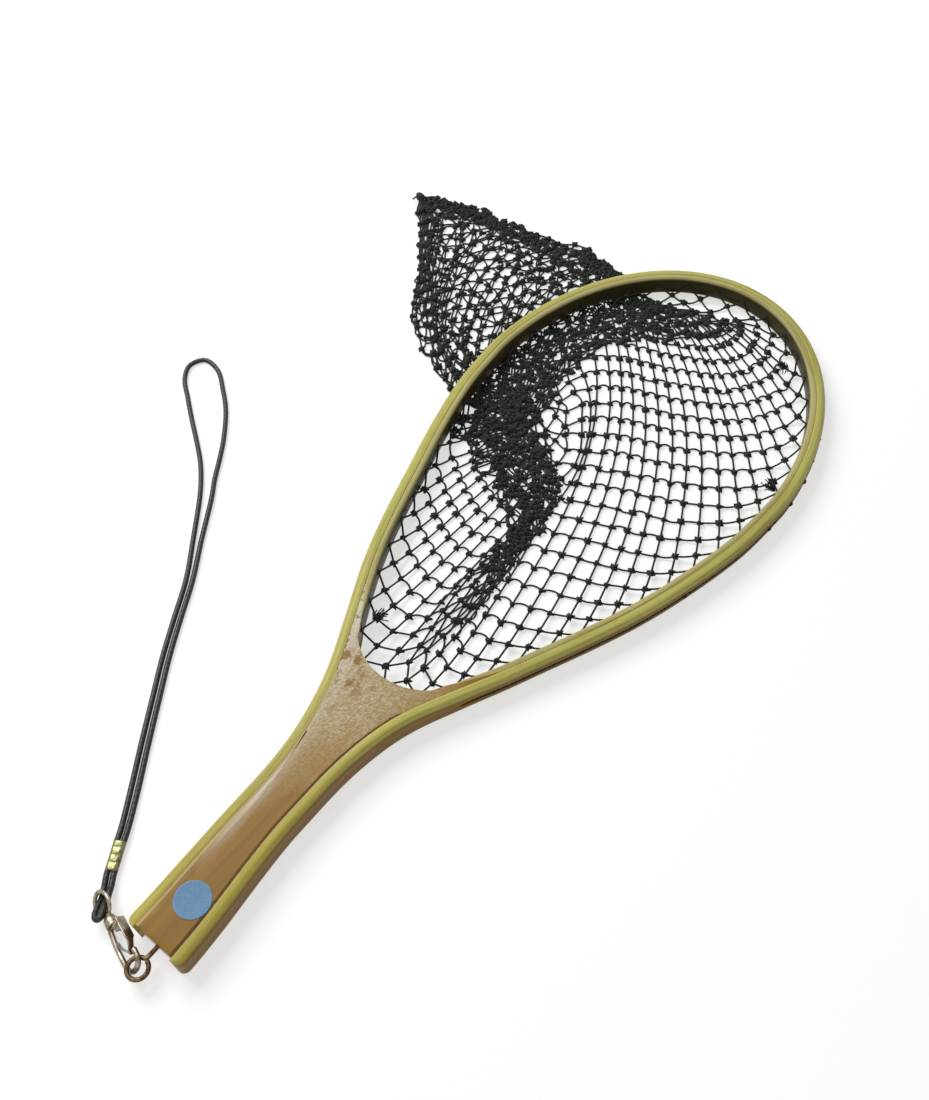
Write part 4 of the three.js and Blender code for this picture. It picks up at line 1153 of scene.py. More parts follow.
class NET_OT_lanyard(bpy.types.Operator):
    """Free loop of cord, its bight through the swivel eye, and the brass crimp"""
    bl_idname = "landing_net.lanyard"
    bl_label = "Lanyard"

    def execute(self, context):
        settings = context.scene.net_lanyard
        metal = context.scene.net_metal
        cord = braided_cord("black_cord", settings.dark, settings.light)
        brass = worn_metal("brass_crimp", metal.brass, metal.brass_dull, 0.3, 0.6, 900.0)
        radius = settings.cord / MM / 2
        path = spaced(self.smooth_path(self.loop_route()), 320)
        loop = tube("lanyard_loop_cord", path, radius, sides=14, dome=False)
        dress(loop, "snap", "black_cord", cord, "lanyard_loop")
        crimp = self.crimp()
        dress(crimp, "snap", "brass", brass, "cord_crimp")
        bight_path = spaced(self.smooth_path(self.bight_route()), 110)
        bight = tube("lanyard_bight_cord", bight_path, radius, sides=14, dome=False)
        dress(bight, None, "black_cord", cord, "lanyard_bight")
        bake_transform(bight)
        return {"FINISHED"}

    def smooth_path(self, points):
        """Centripetal curve through the points."""
        points = [Vector(p) for p in points]
        lead = [points[0] * 2 - points[1]] + points + [points[-1] * 2 - points[-2]]
        out = []
        for i in range(len(points) - 1):
            p0, p1, p2, p3 = lead[i:i + 4]
            t1 = max((p1 - p0).length, 1e-6) ** 0.5
            t2 = t1 + max((p2 - p1).length, 1e-6) ** 0.5
            t3 = t2 + max((p3 - p2).length, 1e-6) ** 0.5
            for k in range(16):
                t = t1 + (t2 - t1) * k / 16
                a1 = p0 * ((t1 - t) / t1) + p1 * (t / t1)
                a2 = p1 * ((t2 - t) / (t2 - t1)) + p2 * ((t - t1) / (t2 - t1))
                a3 = p2 * ((t3 - t) / (t3 - t2)) + p3 * ((t - t2) / (t3 - t2))
                b1 = a1 * ((t2 - t) / t2) + a2 * (t / t2)
                b2 = a2 * ((t3 - t) / (t3 - t1)) + a3 * ((t - t1) / (t3 - t1))
                out.append(b1 * ((t2 - t) / (t2 - t1)) + b2 * ((t - t1) / (t2 - t1)))
        return np.array([tuple(p) for p in out + points[-1:]])

    def loop_route(self):
        """Out of the crimp, round on the floor and back into it."""
        ends = leg_ends(CRIMP_TO, ((-LEG_INSET, CRIMP_Z), (SEAT_GAP, CRIMP_Z),
                                   (CORD_D * 2, (CRIMP_Z + CORD_Z) / 2)))
        route = [np.array([x, y, CORD_Z]) for x, y in LOOP_ROUTE]
        return ends[0] + route + ends[1][::-1]

    def bight_route(self):
        """Out of the crimp, up through the swivel eye and back."""
        thread = np.array((snap_frame() @ Vector((LOOP_X * MM, 0.0, 0.0)))[:2]) / MM
        way = (CRIMP_FROM - thread) / np.linalg.norm(CRIMP_FROM - thread)
        across = np.array([-way[1], way[0]])

        def place(far, side, z):
            return np.r_[thread + way * far + across * side, z]

        starts = leg_ends(CRIMP_FROM, ((LEG_INSET, CRIMP_Z), (-SEAT_GAP, CRIMP_Z),
                                       (-CORD_D / 2 - SEAT_GAP, CRIMP_Z)))
        left = [place(far, apart, low) for far, low, high, apart in BIGHT_ROWS]
        right = [place(far, -apart, high) for far, low, high, apart in BIGHT_ROWS]
        return starts[0] + left + [place(*BIGHT_END)] + right[::-1] + starts[1][::-1]

    def crimp(self):
        """Two-lobed brass sleeve with pressed dents and rolled ends."""
        long = float(np.linalg.norm(CRIMP_TO - CRIMP_FROM))
        lobe = CORD_D / 2 + CRIMP_WALL
        reach = LEG_SPREAD - CRIMP_PINCH
        section = []
        for side in (1, -1):
            for turn in np.linspace(-math.pi / 2, math.pi / 2, 13):
                section.append((side * (reach + lobe * math.cos(turn)), side * lobe * math.sin(turn)))
        section = np.array(section)
        lip, lip_sizes = np.transpose(CRIMP_LIP)
        plain = np.linspace(CRIMP_PLAIN, long - CRIMP_PLAIN, 26)
        stations = np.r_[lip, plain, long - lip[::-1]]
        sizes = np.r_[lip_sizes, np.ones(len(plain)), lip_sizes[::-1]]
        dents = sum(np.exp(-((stations - long * share) / DENT_LONG) ** 2) for share in CRIMP_DENTS)
        rings = []
        for far, size, dent in zip(stations, sizes, dents):
            ring = section * size
            squeeze = 1 - DENT_DEEP * dent * np.exp(-(ring[:, 0] / DENT_WIDE) ** 2)
            rings.append([leg_point(CRIMP_FROM, far, a, CRIMP_Z + b * s) for (a, b), s in zip(ring, squeeze)])
        return closed_skin("brass_crimp", rings, stations, girth_of(section), smooth_angle=60)


# Wooden frame
def bow_rings(first, last, section_at):
    """Rings of a strip along the frame's edge, from one row of the outline to another."""
    rings = []
    for i in range(first, last):
        section = section_at(i)
        plan = OUTLINE[i] + INWARD[i] * section[:, :1]
        rings.append(np.column_stack([plan, MID_Z + section[:, 1]]))
    return rings


def quarter(steps):
    """Shares of a rounding's radius that its points keep from the side wall and from the top."""
    for k in range(steps + 1):
        turn = k / steps * math.pi / 2
        yield 1 - math.sin(turn), 1 - math.cos(turn)


def both_halves(top):
    """A strip's section from its upper half, and the same half upside down."""
    return np.array(top + [(inset, -z) for inset, z in top[::-1]])


class NET_OT_outer_bow(bpy.types.Operator):
    """Outer bent strip, rounded outside, with the lacing groove round the hoop"""
    bl_idname = "landing_net.outer_bow"
    bl_label = "Outer strip"

    def execute(self, context):
        wood = context.scene.net_wood
        rounding = wood.outer_round / MM
        rings = bow_rings(0, len(OUTLINE), lambda i: self.section(OUTLINE[i][0], rounding))
        girth = girth_of(self.section(WAIST_X, rounding))
        piece = closed_skin("outer_strip", rings, ARC, girth, smooth_angle=38)
        bevel(piece, STRIP_END_EDGE, 2, 60)
        # The outer wall's colour is partly a browner tone of the wood and partly painted shade.
        low = girth[WALL_POINT]
        wall = (tuple(wood.wall), low * MM, (girth[-2] - low) * MM)
        finish = strip_wood("ash_strip", wood.ash, wood.ash_dark, tint(150, 122, 54), STRIP_COAT, wall)
        dress(piece, "net", "ash", finish, "outer_lamination")
        return {"FINISHED"}

    def section(self, x, rounding):
        half = half_thick(x)
        back = BUTT_CORNER - min(max(x - BUTT_X, 0.0), BUTT_CORNER)
        outer = BUTT_CORNER - math.sqrt(BUTT_CORNER ** 2 - back ** 2)
        radius = min(rounding, (OUTER_STRIP - outer) * 0.8)
        begun = float(smooth((x - LACING_START_X + GROOVE_LEAD) / GROOVE_EASE))
        deep = GROOVE_TRACE + (GROOVE_DEEP - GROOVE_TRACE) * begun
        groove = GROOVE_WIDE / 2
        soft = SOFT_EDGE
        inner = OUTER_STRIP + GLUE / 2
        top = [(inner, half - soft), (inner - soft * 0.3, half - soft * 0.3), (inner - soft, half)]
        top += [(outer + radius * side, half - radius * drop) for side, drop in quarter(10)]
        top += [(outer, groove + soft), (outer + min(soft * 0.4, deep), groove), (outer + deep, groove - 0.1)]
        return both_halves(top)


class NET_OT_inner_bow(bpy.types.Operator):
    """Paler inner strip round the hoop, from horn to horn"""
    bl_idname = "landing_net.inner_bow"
    bl_label = "Inner strip"

    def execute(self, context):
        wood = context.scene.net_wood
        rows = np.where(OUTLINE[:, 0] >= SCARF_ROOT_X + SCARF_START)[0]
        rings = bow_rings(rows[0], rows[-1] + 1, lambda i: self.section(OUTLINE[i][0]))
        girth = girth_of(self.section(HOOP_WIDE_X))
        piece = closed_skin("inner_strip", rings, ARC[rows], girth, smooth_angle=38)
        # The hoop's inner wall gets a dark colour as painted shade.
        low = girth[INNER_WALL_POINT]
        wall = (tuple(wood.inner_wall_shade), low * MM, (girth[-2] - low) * MM)
        finish = strip_wood("pale_strip", wood.pale, wood.pale_dark, tint(160, 140, 84), STRIP_COAT, wall)
        dress(piece, "net", "pale_ash", finish, "inner_lamination")
        return {"FINISHED"}

    def section(self, x):
        half = half_thick(x)
        outer = OUTER_STRIP + GLUE if x >= SCARF_X else scarf_inset(x)
        soft = min(SOFT_EDGE, (MOUTH_INSET - outer) * 0.3)
        radius = min(INNER_ROUND, (MOUTH_INSET - outer) * 0.6)
        top = [(outer, half - soft), (outer + soft * 0.3, half - soft * 0.3), (outer + soft, half)]
        top += [(MOUTH_INSET - radius * side, half - radius * drop) for side, drop in quarter(8)]
        return both_halves(top)


class NET_OT_handle_core(bpy.types.Operator):
    """Brown core of the handle with the round throat, and the thin accent lines beside it"""
    bl_idname = "landing_net.handle_core"
    bl_label = "Handle core"

    def execute(self, context):
        wood = context.scene.net_wood
        brown = core_wood("brown_core", wood.core, wood.core_dark, wood.core_wear_and_glare)
        dark = strip_wood("dark_accent", wood.accent, tint(72, 46, 18), tint(52, 34, 18), ACCENT_COAT)
        # The left accent line's pale colour is painted glare.
        left_accent_glare = strip_wood("left_accent_glare_finish", wood.accent_pale_glare, tint(178, 150, 104), tint(160, 132, 90),
                          ACCENT_COAT)
        dress(self.core(), "net", "brown_core", brown, "handle_core")
        dress(self.accent("accent_line_right", -1), "net", "dark_accent", dark, "accent_strip_right")
        dress(self.accent("accent_line_left", 1), "net", "dark_accent", left_accent_glare, "accent_strip_left")
        return {"FINISHED"}

    def accent(self, name, side):
        """Thin line of wood that fills the joint between the core and one strip."""
        xs = np.linspace(CORE_BUTT_X, ACCENT_END_X, 60)
        rings = []
        for x in xs:
            half = half_thick(x) - ACCENT_SUNK
            near = edge_point(side, x, OUTER_STRIP + GLUE / 2 + ACCENT_TO_STRIP)
            far = edge_point(side, x, self.inset(x) - ACCENT_TO_CORE)
            top = MID_Z + half
            bottom = MID_Z - half
            rings.append([(*near, top), (*near, bottom), (*far, bottom), (*far, top)])
        girth = np.cumsum([0, HANDLE_THICK, ACCENT, HANDLE_THICK, ACCENT])
        return closed_skin(name, rings, xs - CORE_BUTT_X, girth, smooth_angle=30)

    def inset(self, x):
        """How far the core's side lies in from the frame's edge."""
        if x > ACCENT_END_X:
            return OUTER_STRIP + GLUE
        share = (x - BUTT_X) / (ACCENT_END_X - BUTT_X)
        line = ACCENT + (ACCENT_END - ACCENT) * share
        return OUTER_STRIP + GLUE + (GLUE + line)

    def end_curve(self):
        """From the right horn's tip round the throat to the left horn's tip."""
        xs = np.linspace(SCARF_X, SCARF_ROOT_X + 0.5, 18)
        right = [edge_point(-1, x, scarf_inset(x)) for x in xs]
        left = [edge_point(1, x, scarf_inset(x)) for x in xs[::-1]]
        return np.vstack([right, THROAT_EDGE, left])

    def core(self):
        """A sheet stretched between the butt, the two strips and the throat, given its thickness."""
        shares = (1 - np.cos(np.linspace(0, math.pi, 91))) / 2
        curve = self.end_curve()
        far = along(curve) / along(curve)[-1]
        end = np.stack([np.interp(shares, far, curve[:, k]) for k in (0, 1)], axis=1)
        outward = inward(end) * np.minimum(np.minimum(shares, 1 - shares) / 0.02, 1.0)[:, None]
        soft = CORE_EDGE
        near = soft * 0.3
        inner_end = end + outward * soft
        xs = np.linspace(CORE_BUTT_X, SCARF_X, 90)
        sides = [np.array([edge_point(side, x, self.inset(x)) for x in xs]) for side in (-1, 1)]
        butt = sides[0][0] + (sides[1][0] - sides[0][0]) * shares[:, None]
        rings = [self.ring(butt, soft, 0.0), self.ring(butt, soft, 1.0),
                 self.ring(butt + [near, 0], near, 1.0)]
        for k in range(1, len(xs) - 1):
            t = k / (len(xs) - 1)
            rows = (1 - t) * butt + t * inner_end
            rows = rows + (1 - shares)[:, None] * (sides[0][k] - (1 - t) * sides[0][0] - t * inner_end[0])
            rows = rows + shares[:, None] * (sides[1][k] - (1 - t) * sides[1][0] - t * inner_end[-1])
            rings.append(self.ring(rows, 0.0, 1.0))
        for back, drop, full in ((soft, 0.0, 1.0), (near, near, 1.0), (0.0, soft, 1.0), (0.0, soft, 0.0)):
            rings.append(self.ring(end + outward * back, drop, full))
        last = xs[-1] - CORE_BUTT_X + np.array([0.0, 0.3, 0.6, 0.9])
        lengths = np.r_[0.0, 0.1, 0.3, xs[1:-1] - CORE_BUTT_X, last]
        girth = np.arange(2 * len(shares) + 1) * CORE_CHART_STEP
        return closed_skin("handle_core_wood", rings, lengths, girth, smooth_angle=40)

    def ring(self, plan, drop, full):
        half = np.array([(half_thick(x) - drop) * full for x in plan[:, 0]])
        top = np.column_stack([plan, MID_Z + half])
        bottom = np.column_stack([plan, MID_Z - half])
        return np.vstack([top, bottom[::-1]])


# Net bag
def pouch_point(far, share):
    """A point of the bag's end, that far from its root and at a share of its half width."""
    middle = np.interp(far, POUCH_ROWS[:, 0], POUCH_ROWS[:, 1])
    half = np.interp(far, POUCH_ROWS[:, 0], POUCH_ROWS[:, 2])
    return ROOT + POUCH_ALONG * far + POUCH_ACROSS * (middle + half * share)


def gather_point(share):
    """A point on the line where the slack gathers."""
    far = along(GATHER) / along(GATHER)[-1]
    return np.array([np.interp(share, far, GATHER[:, k]) for k in (0, 1)])


class NET_OT_bag(bpy.types.Operator):
    """Knotted bag: laid out as it was drawn under the hoop, settled, and covered with twine and knots"""
    bl_idname = "landing_net.bag"
    bl_label = "Net bag"

    def execute(self, context):
        settings = context.scene.net_bag
        self.twine_r = settings.twine / MM / 2
        self.knot_r = settings.knot / MM / 2
        self.rng = np.random.default_rng(7)
        self.graph()
        self.lay()
        self.settle(settings.settle)
        finish = laid_twine("green_black_twine", settings.dark, settings.light, 0.0022)
        inside = self.first < self.start[ROWS_IN]
        bag = self.bars("bag_twine", inside)
        end = self.bars("bag_end_twine", ~inside)
        knots = self.knots("bag_knots")
        for piece in (bag, end, knots):
            dress(piece, "net", "twine", finish)
        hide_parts("net_bag", "bag_floor")
        tie = self.end_tie()
        dress(tie, "net", "twine", finish, "bag_end_tie")
        return {"FINISHED"}

    def graph(self):
        """Rows of knots, narrowing towards the end, and the bars between them."""
        counts = []
        for r in range(ROWS):
            past = max((r - NARROW_FROM) / (ROWS - 1 - NARROW_FROM), 0.0)
            narrow = END_MESHES + (RIM_MESHES - END_MESHES) * (1 - past) ** NARROW_CURVE
            counts.append(int(round(narrow)))
        self.start = np.r_[0, np.cumsum(counts)]
        self.turns = [(np.arange(n) + 0.5 * (r % 2)) / n for r, n in enumerate(counts)]
        first = []
        second = []
        for r in range(ROWS - 1):
            n = counts[r + 1]
            for i, turn in enumerate(self.turns[r]):
                low = int(math.floor(turn * n - 0.5 * ((r + 1) % 2) + 1e-6))
                for k in (low, low + 1):
                    first.append(self.start[r] + i)
                    second.append(self.start[r + 1] + k % n)
        self.first = np.array(first)
        self.second = np.array(second)

    def lay(self):
        """Where each knot and each bar's middle starts, before the bag settles."""
        knots = self.knot_rows(self.columns())
        self.count = len(knots)
        loose = slice(self.start[1], self.start[ROWS - 1])
        slack = (knots[loose, 0] < SLACK_X) & (knots[loose, 1] > SLACK_Y)
        in_end = np.arange(self.count)[loose] > self.start[ROWS_IN]
        stray = np.where(slack | in_end, SLACK_STRAY, STRAY)[:, None]
        knots[loose, :2] += self.rng.normal(0, 1, (len(stray), 2)) * stray
        reach = knots[self.second] - knots[self.first]
        sag = np.sqrt(np.maximum((BAR / 2) ** 2 - (np.linalg.norm(reach, axis=1) / 2) ** 2, 0))
        way = unit(self.rng.normal(0, 1, reach.shape) * [1, 1, SAG_UP])
        middles = (knots[self.first] + knots[self.second]) / 2 + way * sag[:, None] * SAG_SHARE
        self.points = np.vstack([knots, middles])

    def columns(self):
        """Lines of knots from even places round the rim, inside and under the hoop to the bag's end."""
        mouth = np.vstack([HOOP_EDGE, THROAT_EDGE])
        ring = spaced(np.vstack([mouth, mouth[:1]]), RIM_STEPS + 1)[:-1]
        ring = np.roll(ring, -int(np.argmin(np.linalg.norm(ring - RIM_START, axis=1))), axis=0)
        rims = ring[(np.arange(ANGLES) * RIM_STEPS / ANGLES).astype(int)]
        table = np.zeros((ANGLES, ROWS, 3))
        for h, rim in enumerate(rims):
            place = h * RIM_PLACES / ANGLES
            if place > RIM_PLACES / 2:
                place -= RIM_PLACES
            share = math.sin(2 * math.pi * h / ANGLES)
            up = max(math.cos(2 * math.pi * h / ANGLES), 0.0)
            cross = pouch_point(CROSS_FAR, share * CROSS_SHARE)
            rows = int(round(np.interp(place, INSIDE_ROWS[:, 0], INSIDE_ROWS[:, 1])))
            gathers = JOIN[0, 0] <= place <= JOIN[-1, 0]
            inside = self.inside(rim, place, cross, gathers)
            table[h, :rows] = spaced(inside, rows, ROW_EASE if gathers else 1.0)
            table[h, rows:] = spaced(self.outside(cross, share, up), ROWS - rows + 1)[1:]
        return table

    def inside(self, rim, place, cross, gathers):
        """From the rim through the gather or a fold, or straight back, to where the bag goes under."""
        line = [np.r_[rim, RIM_Z]]
        if gathers:
            line += self.gathered(rim, place)
        elif FOLDS[0, 0] < place <= FOLDS[-1, 0]:
            fold = np.array([np.interp(place, FOLDS[:, 0], FOLDS[:, k]) for k in (1, 2)])
            fold = fold + self.rng.normal(0, FOLD_STRAY, 2)
            spots = ((rim + fold) / 2, fold, fold + (cross - fold) * FOLD_AFTER)
            line += [np.r_[spot, z] for spot, z in zip(spots, FOLD_Z)]
        else:
            way = (cross - rim) / np.linalg.norm(cross - rim)
            line.append(np.r_[rim + way * BACK_STEP, BACK_Z])
        return np.array(line + [np.r_[cross, LAID_Z]])

    def gathered(self, rim, place):
        """From the rim to the line of the gather, and along that in a lane of its own."""
        slow, fast = (math.sin(place * pace + start) * size for pace, start, size in LANE_WAVES)
        lane = slow + fast + LANE_SHIFT
        joins = np.interp(place, JOIN[:, 0], JOIN[:, 1])
        bunch = gather_point(joins) + lane * JOIN_SIDE
        line = []
        for part in JOIN_PARTS:
            step = rim * (1 - part) + bunch * part + self.rng.normal(0, JOIN_STRAY, 2) + lane * JOIN_LANE
            line.append(np.r_[step, JOIN_Z + JOIN_RISE * part])
        for share in np.linspace(joins, 1, GATHER_POINTS):
            wide = np.interp(share, np.linspace(0, 1, len(GATHER_SPREAD)), GATHER_SPREAD)
            step = gather_point(share) + lane * wide * LANE_SIDE + self.rng.normal(0, GATHER_STRAY, 2)
            line.append(np.r_[step, GATHER_Z + GATHER_RISE * share])
        return line

    def outside(self, cross, share, up):
        """A line from under the hoop along the bag's end, over it where up is more than nothing."""
        edged = math.copysign(abs(share) ** POUCH_EDGES[share > 0], share)
        line = [np.r_[cross, LAID_Z]]
        for far in POUCH_STATIONS:
            tall = np.interp(far, POUCH_ROWS[:, 0], POUCH_ROWS[:, 3])
            z = LAID_Z + up * (tall - LAID_Z) if far > HOOP_CLEAR else LAID_Z
            line.append(np.r_[pouch_point(far, edged), z])
        return np.array(line)

    def knot_rows(self, table):
        """Each row's knots between the laid lines, with slow waves along and across the rows."""
        rng = self.rng
        knots = np.zeros((self.start[-1], 3))
        waves = [(rng.integers(*WAVE_TURNS), rng.uniform(*WAVE_PACE), rng.uniform(*WAVE_START),
                  rng.uniform(*WAVE_START)) for k in range(WAVES)]
        for r in range(ROWS):
            turn = self.turns[r] * ANGLES
            low = np.floor(turn).astype(int)
            part = (turn - low)[:, None]
            row = table[low % ANGLES, r] * (1 - part) + table[(low + 1) % ANGLES, r] * part
            size = min(r / WAVE_ROWS, 1) * min((ROWS - 1 - r) / WAVE_ROWS, 1)
            size *= END_WAVES if r > ROWS_IN else 1.0
            for k, (m, w, p0, p1) in enumerate(waves):
                row[:, k % 2] += size * np.sin(m * 2 * math.pi * self.turns[r] + p0) * math.sin(w * r + p1)
            knots[self.start[r]:self.start[r + 1]] = row
        return knots

    def batches(self):
        """Half bars in groups where no knot comes twice."""
        middle = self.count + np.arange(len(self.first))
        groups = []
        for end in (self.first, self.second):
            order = np.argsort(end, kind="stable")
            fresh = np.r_[True, np.diff(end[order]) != 0]
            place = np.arange(len(end))
            rank = np.empty(len(end), int)
            rank[order] = place - np.maximum.accumulate(np.where(fresh, place, 0))
            for k in range(rank.max() + 1):
                groups.append((end[rank == k], middle[rank == k]))
        return groups

    def neighbours(self, reach):
        """Pairs of points that share a cell or lie in cells side by side."""
        stride = 1000
        cell = np.floor(self.points / reach).astype(np.int64) + 400
        key = (cell[:, 0] * stride + cell[:, 1]) * stride + cell[:, 2]
        order = np.argsort(key, kind="stable")
        sorted_key = key[order]
        firsts = []
        seconds = []
        here = (0, 0, 0)
        steps = [(dx, dy, dz) for dx in (0, 1) for dy in (-1, 0, 1) for dz in (-1, 0, 1)]
        for dx, dy, dz in [step for step in steps if step >= here]:
            want = key + (dx * stride + dy) * stride + dz
            low = np.searchsorted(sorted_key, want, "left")
            n = np.searchsorted(sorted_key, want, "right") - low
            source = np.repeat(np.arange(len(key)), n)
            offset = np.arange(n.sum()) - np.repeat(np.cumsum(n) - n, n)
            target = order[np.repeat(low, n) + offset]
            keep = source < target if (dx, dy, dz) == here else source != target
            firsts.append(source[keep])
            seconds.append(target[keep])
        return np.concatenate(firsts), np.concatenate(seconds)

    def settle(self, steps):
        """Bars keep their length, twine keeps its distance, and the bag lies on the floor under the hoop."""
        p = self.points
        count = self.count
        radius = np.r_[np.full(count, self.knot_r * KNOT_BODY), np.full(len(p) - count, self.twine_r)]
        ease = np.r_[np.full(count, KNOT_EASE), np.ones(len(p) - count)]
        ease[:self.start[1]] = 0
        ease[self.start[ROWS - 1]:count] = 0
        held = np.where(ease == 0)[0]
        hold = p[held].copy()
        free = np.where(ease > 0)[0]
        normal = INWARD[::2]
        band = OUTLINE[::2] + normal * MOUTH_INSET / 2
        half_band = MOUTH_INSET / 2
        under = MID_Z - HOOP_TALL / 2
        half = BAR / 2
        groups = self.batches()
        for step in range(steps):
            p[free, 2] -= FALL
            if step < steps * STIR_UNTIL:
                p[free] += self.rng.normal(0, STIR, (len(free), 3))
            near, other = self.neighbours(NEAR_REACH * radius.max())
            for turn in range(PULLS):
                for knot, middle in groups:
                    gap = p[middle] - p[knot]
                    long = np.sqrt((gap * gap).sum(axis=1)) + 1e-9
                    short = np.where(long < half * SHORTEST, (long - half * SHORTEST) * PUSH_BACK, 0)
                    pull = np.where(long > half, long - half, short) / (long * (ease[knot] + ease[middle]))
                    gap *= pull[:, None]
                    p[knot] += gap * ease[knot][:, None]
                    p[middle] -= gap * ease[middle][:, None]
                if turn % PULLS_TO_PUSH == 0:
                    gap = p[other] - p[near]
                    long = np.sqrt((gap * gap).sum(axis=1)) + 1e-9
                    need = radius[near] + radius[other] - long
                    hit = need > 0
                    push = gap[hit] / long[hit][:, None] * (need[hit] * PUSH)[:, None]
                    for k in range(3):
                        p[:, k] += np.bincount(other[hit], push[:, k], len(p))
                        p[:, k] -= np.bincount(near[hit], push[:, k], len(p))
                p[:, 2] = np.maximum(p[:, 2], radius)
                p[held] = hold
            plan = p[free, :2]
            far = ((plan[:, None] - band[None]) ** 2).sum(axis=2)
            row = far.argmin(axis=1)
            away = np.sqrt(far[np.arange(len(free)), row])
            side = ((plan - band[row]) * normal[row]).sum(axis=1)
            r = radius[free]
            beside = (np.abs(side) < half_band + r) & (away < half_band + r + HOOP_MARGIN)
            inside = beside & (p[free, 2] > under - r)
            low = inside & (p[free, 2] < UNDER_Z)
            p[free[low], 2] = np.maximum(under - r[low], self.twine_r)
            high = inside & ~low
            reach = half_band + r[high]
            out = np.where(side[high] > 0, reach - side[high], -reach - side[high])
            p[free[high], :2] += normal[row[high]] * out[:, None]

    def bars(self, name, pick):
        """Round twine along each bar, bent through its middle."""
        a = self.points[self.first[pick]]
        b = self.points[self.second[pick]]
        middle = self.points[self.count:][pick]
        straight = (a + b) / 2
        middle = straight + (middle - straight) * BAR_BEND
        bend = 2 * middle - straight
        rows = 7
        sides = 6
        t = np.linspace(0, 1, rows)[:, None, None]
        line = (1 - t) ** 2 * a + 2 * t * (1 - t) * bend + t ** 2 * b
        way = np.gradient(line, axis=0)
        way /= np.linalg.norm(way, axis=2, keepdims=True) + 1e-9
        across = np.cross(way, [0.03, 0.05, 1.0])
        across /= np.linalg.norm(across, axis=2, keepdims=True) + 1e-9
        up = np.cross(way, across)
        turn = circle(sides)[:, None]
        ring = np.cos(turn) * across[:, :, None] + np.sin(turn) * up[:, :, None]
        points = (line[:, :, None] + ring * self.twine_r).transpose(1, 0, 2, 3).reshape(-1, 3)
        j, k = np.meshgrid(np.arange(rows - 1), np.arange(sides), indexing="ij")
        j = j.ravel()
        k = k.ravel()
        corners = ((0, 0), (0, 1), (1, 1), (1, 0))
        quad = np.stack([(j + up_row) * sides + (k + on) % sides for up_row, on in corners], axis=1)
        faces = (quad[None] + (np.arange(len(a)) * rows * sides)[:, None, None]).reshape(-1, 4)
        step = BAR / (rows - 1) * MM
        chart = np.stack([np.stack([(j + up_row) * step, (k + on) / sides], 1) for up_row, on in corners], 1)
        chart = np.broadcast_to(chart[None], (len(a), *chart.shape)).reshape(-1, 2)
        return raw_mesh(name, points, faces, chart)

    def knots(self, name):
        """One lumpy hitch, copied to every knot and turned along its bars."""
        ball, faces = self.ball()
        turn = np.arctan2(ball[:, 1], ball[:, 0])
        lump = 0.86 + 0.34 * np.sin(3 * turn + 2.2 * ball[:, 2]) + 0.18 * np.cos(5 * ball[:, 0])
        ball = ball * lump[:, None] * KNOT_SHAPE
        rows = np.arange(self.start[1], self.start[ROWS - 1])
        places = self.points[rows]
        spread = np.zeros((self.count, 3))
        np.add.at(spread, self.first, self.points[self.second] - self.points[self.first])
        along_bar = spread[rows]
        along_bar[:, 2] *= KNOT_SLOPE
        along_bar /= np.linalg.norm(along_bar, axis=1)[:, None] + 1e-9
        across = np.cross(along_bar, [0.0, 0.0, 1.0])
        across /= np.linalg.norm(across, axis=1)[:, None] + 1e-9
        up = np.cross(across, along_bar)
        swing = self.rng.uniform(-KNOT_SWING, KNOT_SWING, len(rows))[:, None]
        x = along_bar * np.cos(swing) + across * np.sin(swing)
        directions = (x, np.cross(up, x), up)
        size = self.knot_r * self.rng.uniform(*KNOT_SIZES, len(rows))
        points = sum(ball[None, :, k:k + 1] * axis[:, None] for k, axis in enumerate(directions))
        points = (points * size[:, None, None] + places[:, None]).reshape(-1, 3)
        points[:, 2] = np.maximum(points[:, 2], FLOOR_GAP)
        all_faces = (faces[None] + (np.arange(len(rows)) * len(ball))[:, None, None]).reshape(-1, 3)
        round_bar = np.arctan2(ball[:, 2], ball[:, 1]) / (2 * math.pi)
        wrap = np.stack([ball[:, 0] * self.knot_r * MM * 2, round_bar], axis=1)
        chart = np.broadcast_to(wrap[faces][None], (len(rows), *faces.shape, 2)).reshape(-1, 2)
        return raw_mesh(name, points, all_faces, chart)

    def ball(self):
        """Points and triangles of a small round ball."""
        deselect()
        bpy.ops.mesh.primitive_uv_sphere_add(segments=8, ring_count=6, radius=1.0)
        model = named("one_knot")
        bpy.ops.object.mode_set(mode="EDIT")
        bpy.ops.mesh.quads_convert_to_tris()
        bpy.ops.object.mode_set(mode="OBJECT")
        points = np.empty(len(model.data.vertices) * 3)
        model.data.vertices.foreach_get("co", points)
        faces = np.empty(len(model.data.polygons) * 3, np.int64)
        model.data.polygons.foreach_get("vertices", faces)
        bpy.data.objects.remove(model)
        return points.reshape(-1, 3), faces.reshape(-1, 3)

    def end_tie(self):
        """Turns of twine drawn tight round the bag's end, with two short tails."""
        reach = TIE_R * TIE_WIND
        t = np.linspace(0, TIE_TURNS * 2 * math.pi, TIE_TURNS * 20)
        lift = (t / t[-1] - 0.5) * TIE_LONG
        wind = np.stack([lift, reach * np.cos(t), TIE_R + reach * np.sin(t)], axis=1)
        turn = np.array([[*POUCH_ALONG, 0], [*POUCH_ACROSS, 0], [0, 0, 1]])
        base = np.r_[ROOT + POUCH_ALONG * TIE_AT[0] + POUCH_ACROSS * TIE_AT[1], 0.0]
        pieces = [tube("tie_turns", wind @ turn + base, self.twine_r, sides=7)]
        for tail in TIE_TAILS:
            pieces.append(tube("tie_tail", catmull(tail, 5) @ turn + base, self.twine_r, sides=7))
        pieces.append(tube("tie_core", catmull(TIE_CORE, 5) @ turn + base, reach * TIE_FILL, sides=9))
        return joined("bag_end_knot", pieces)


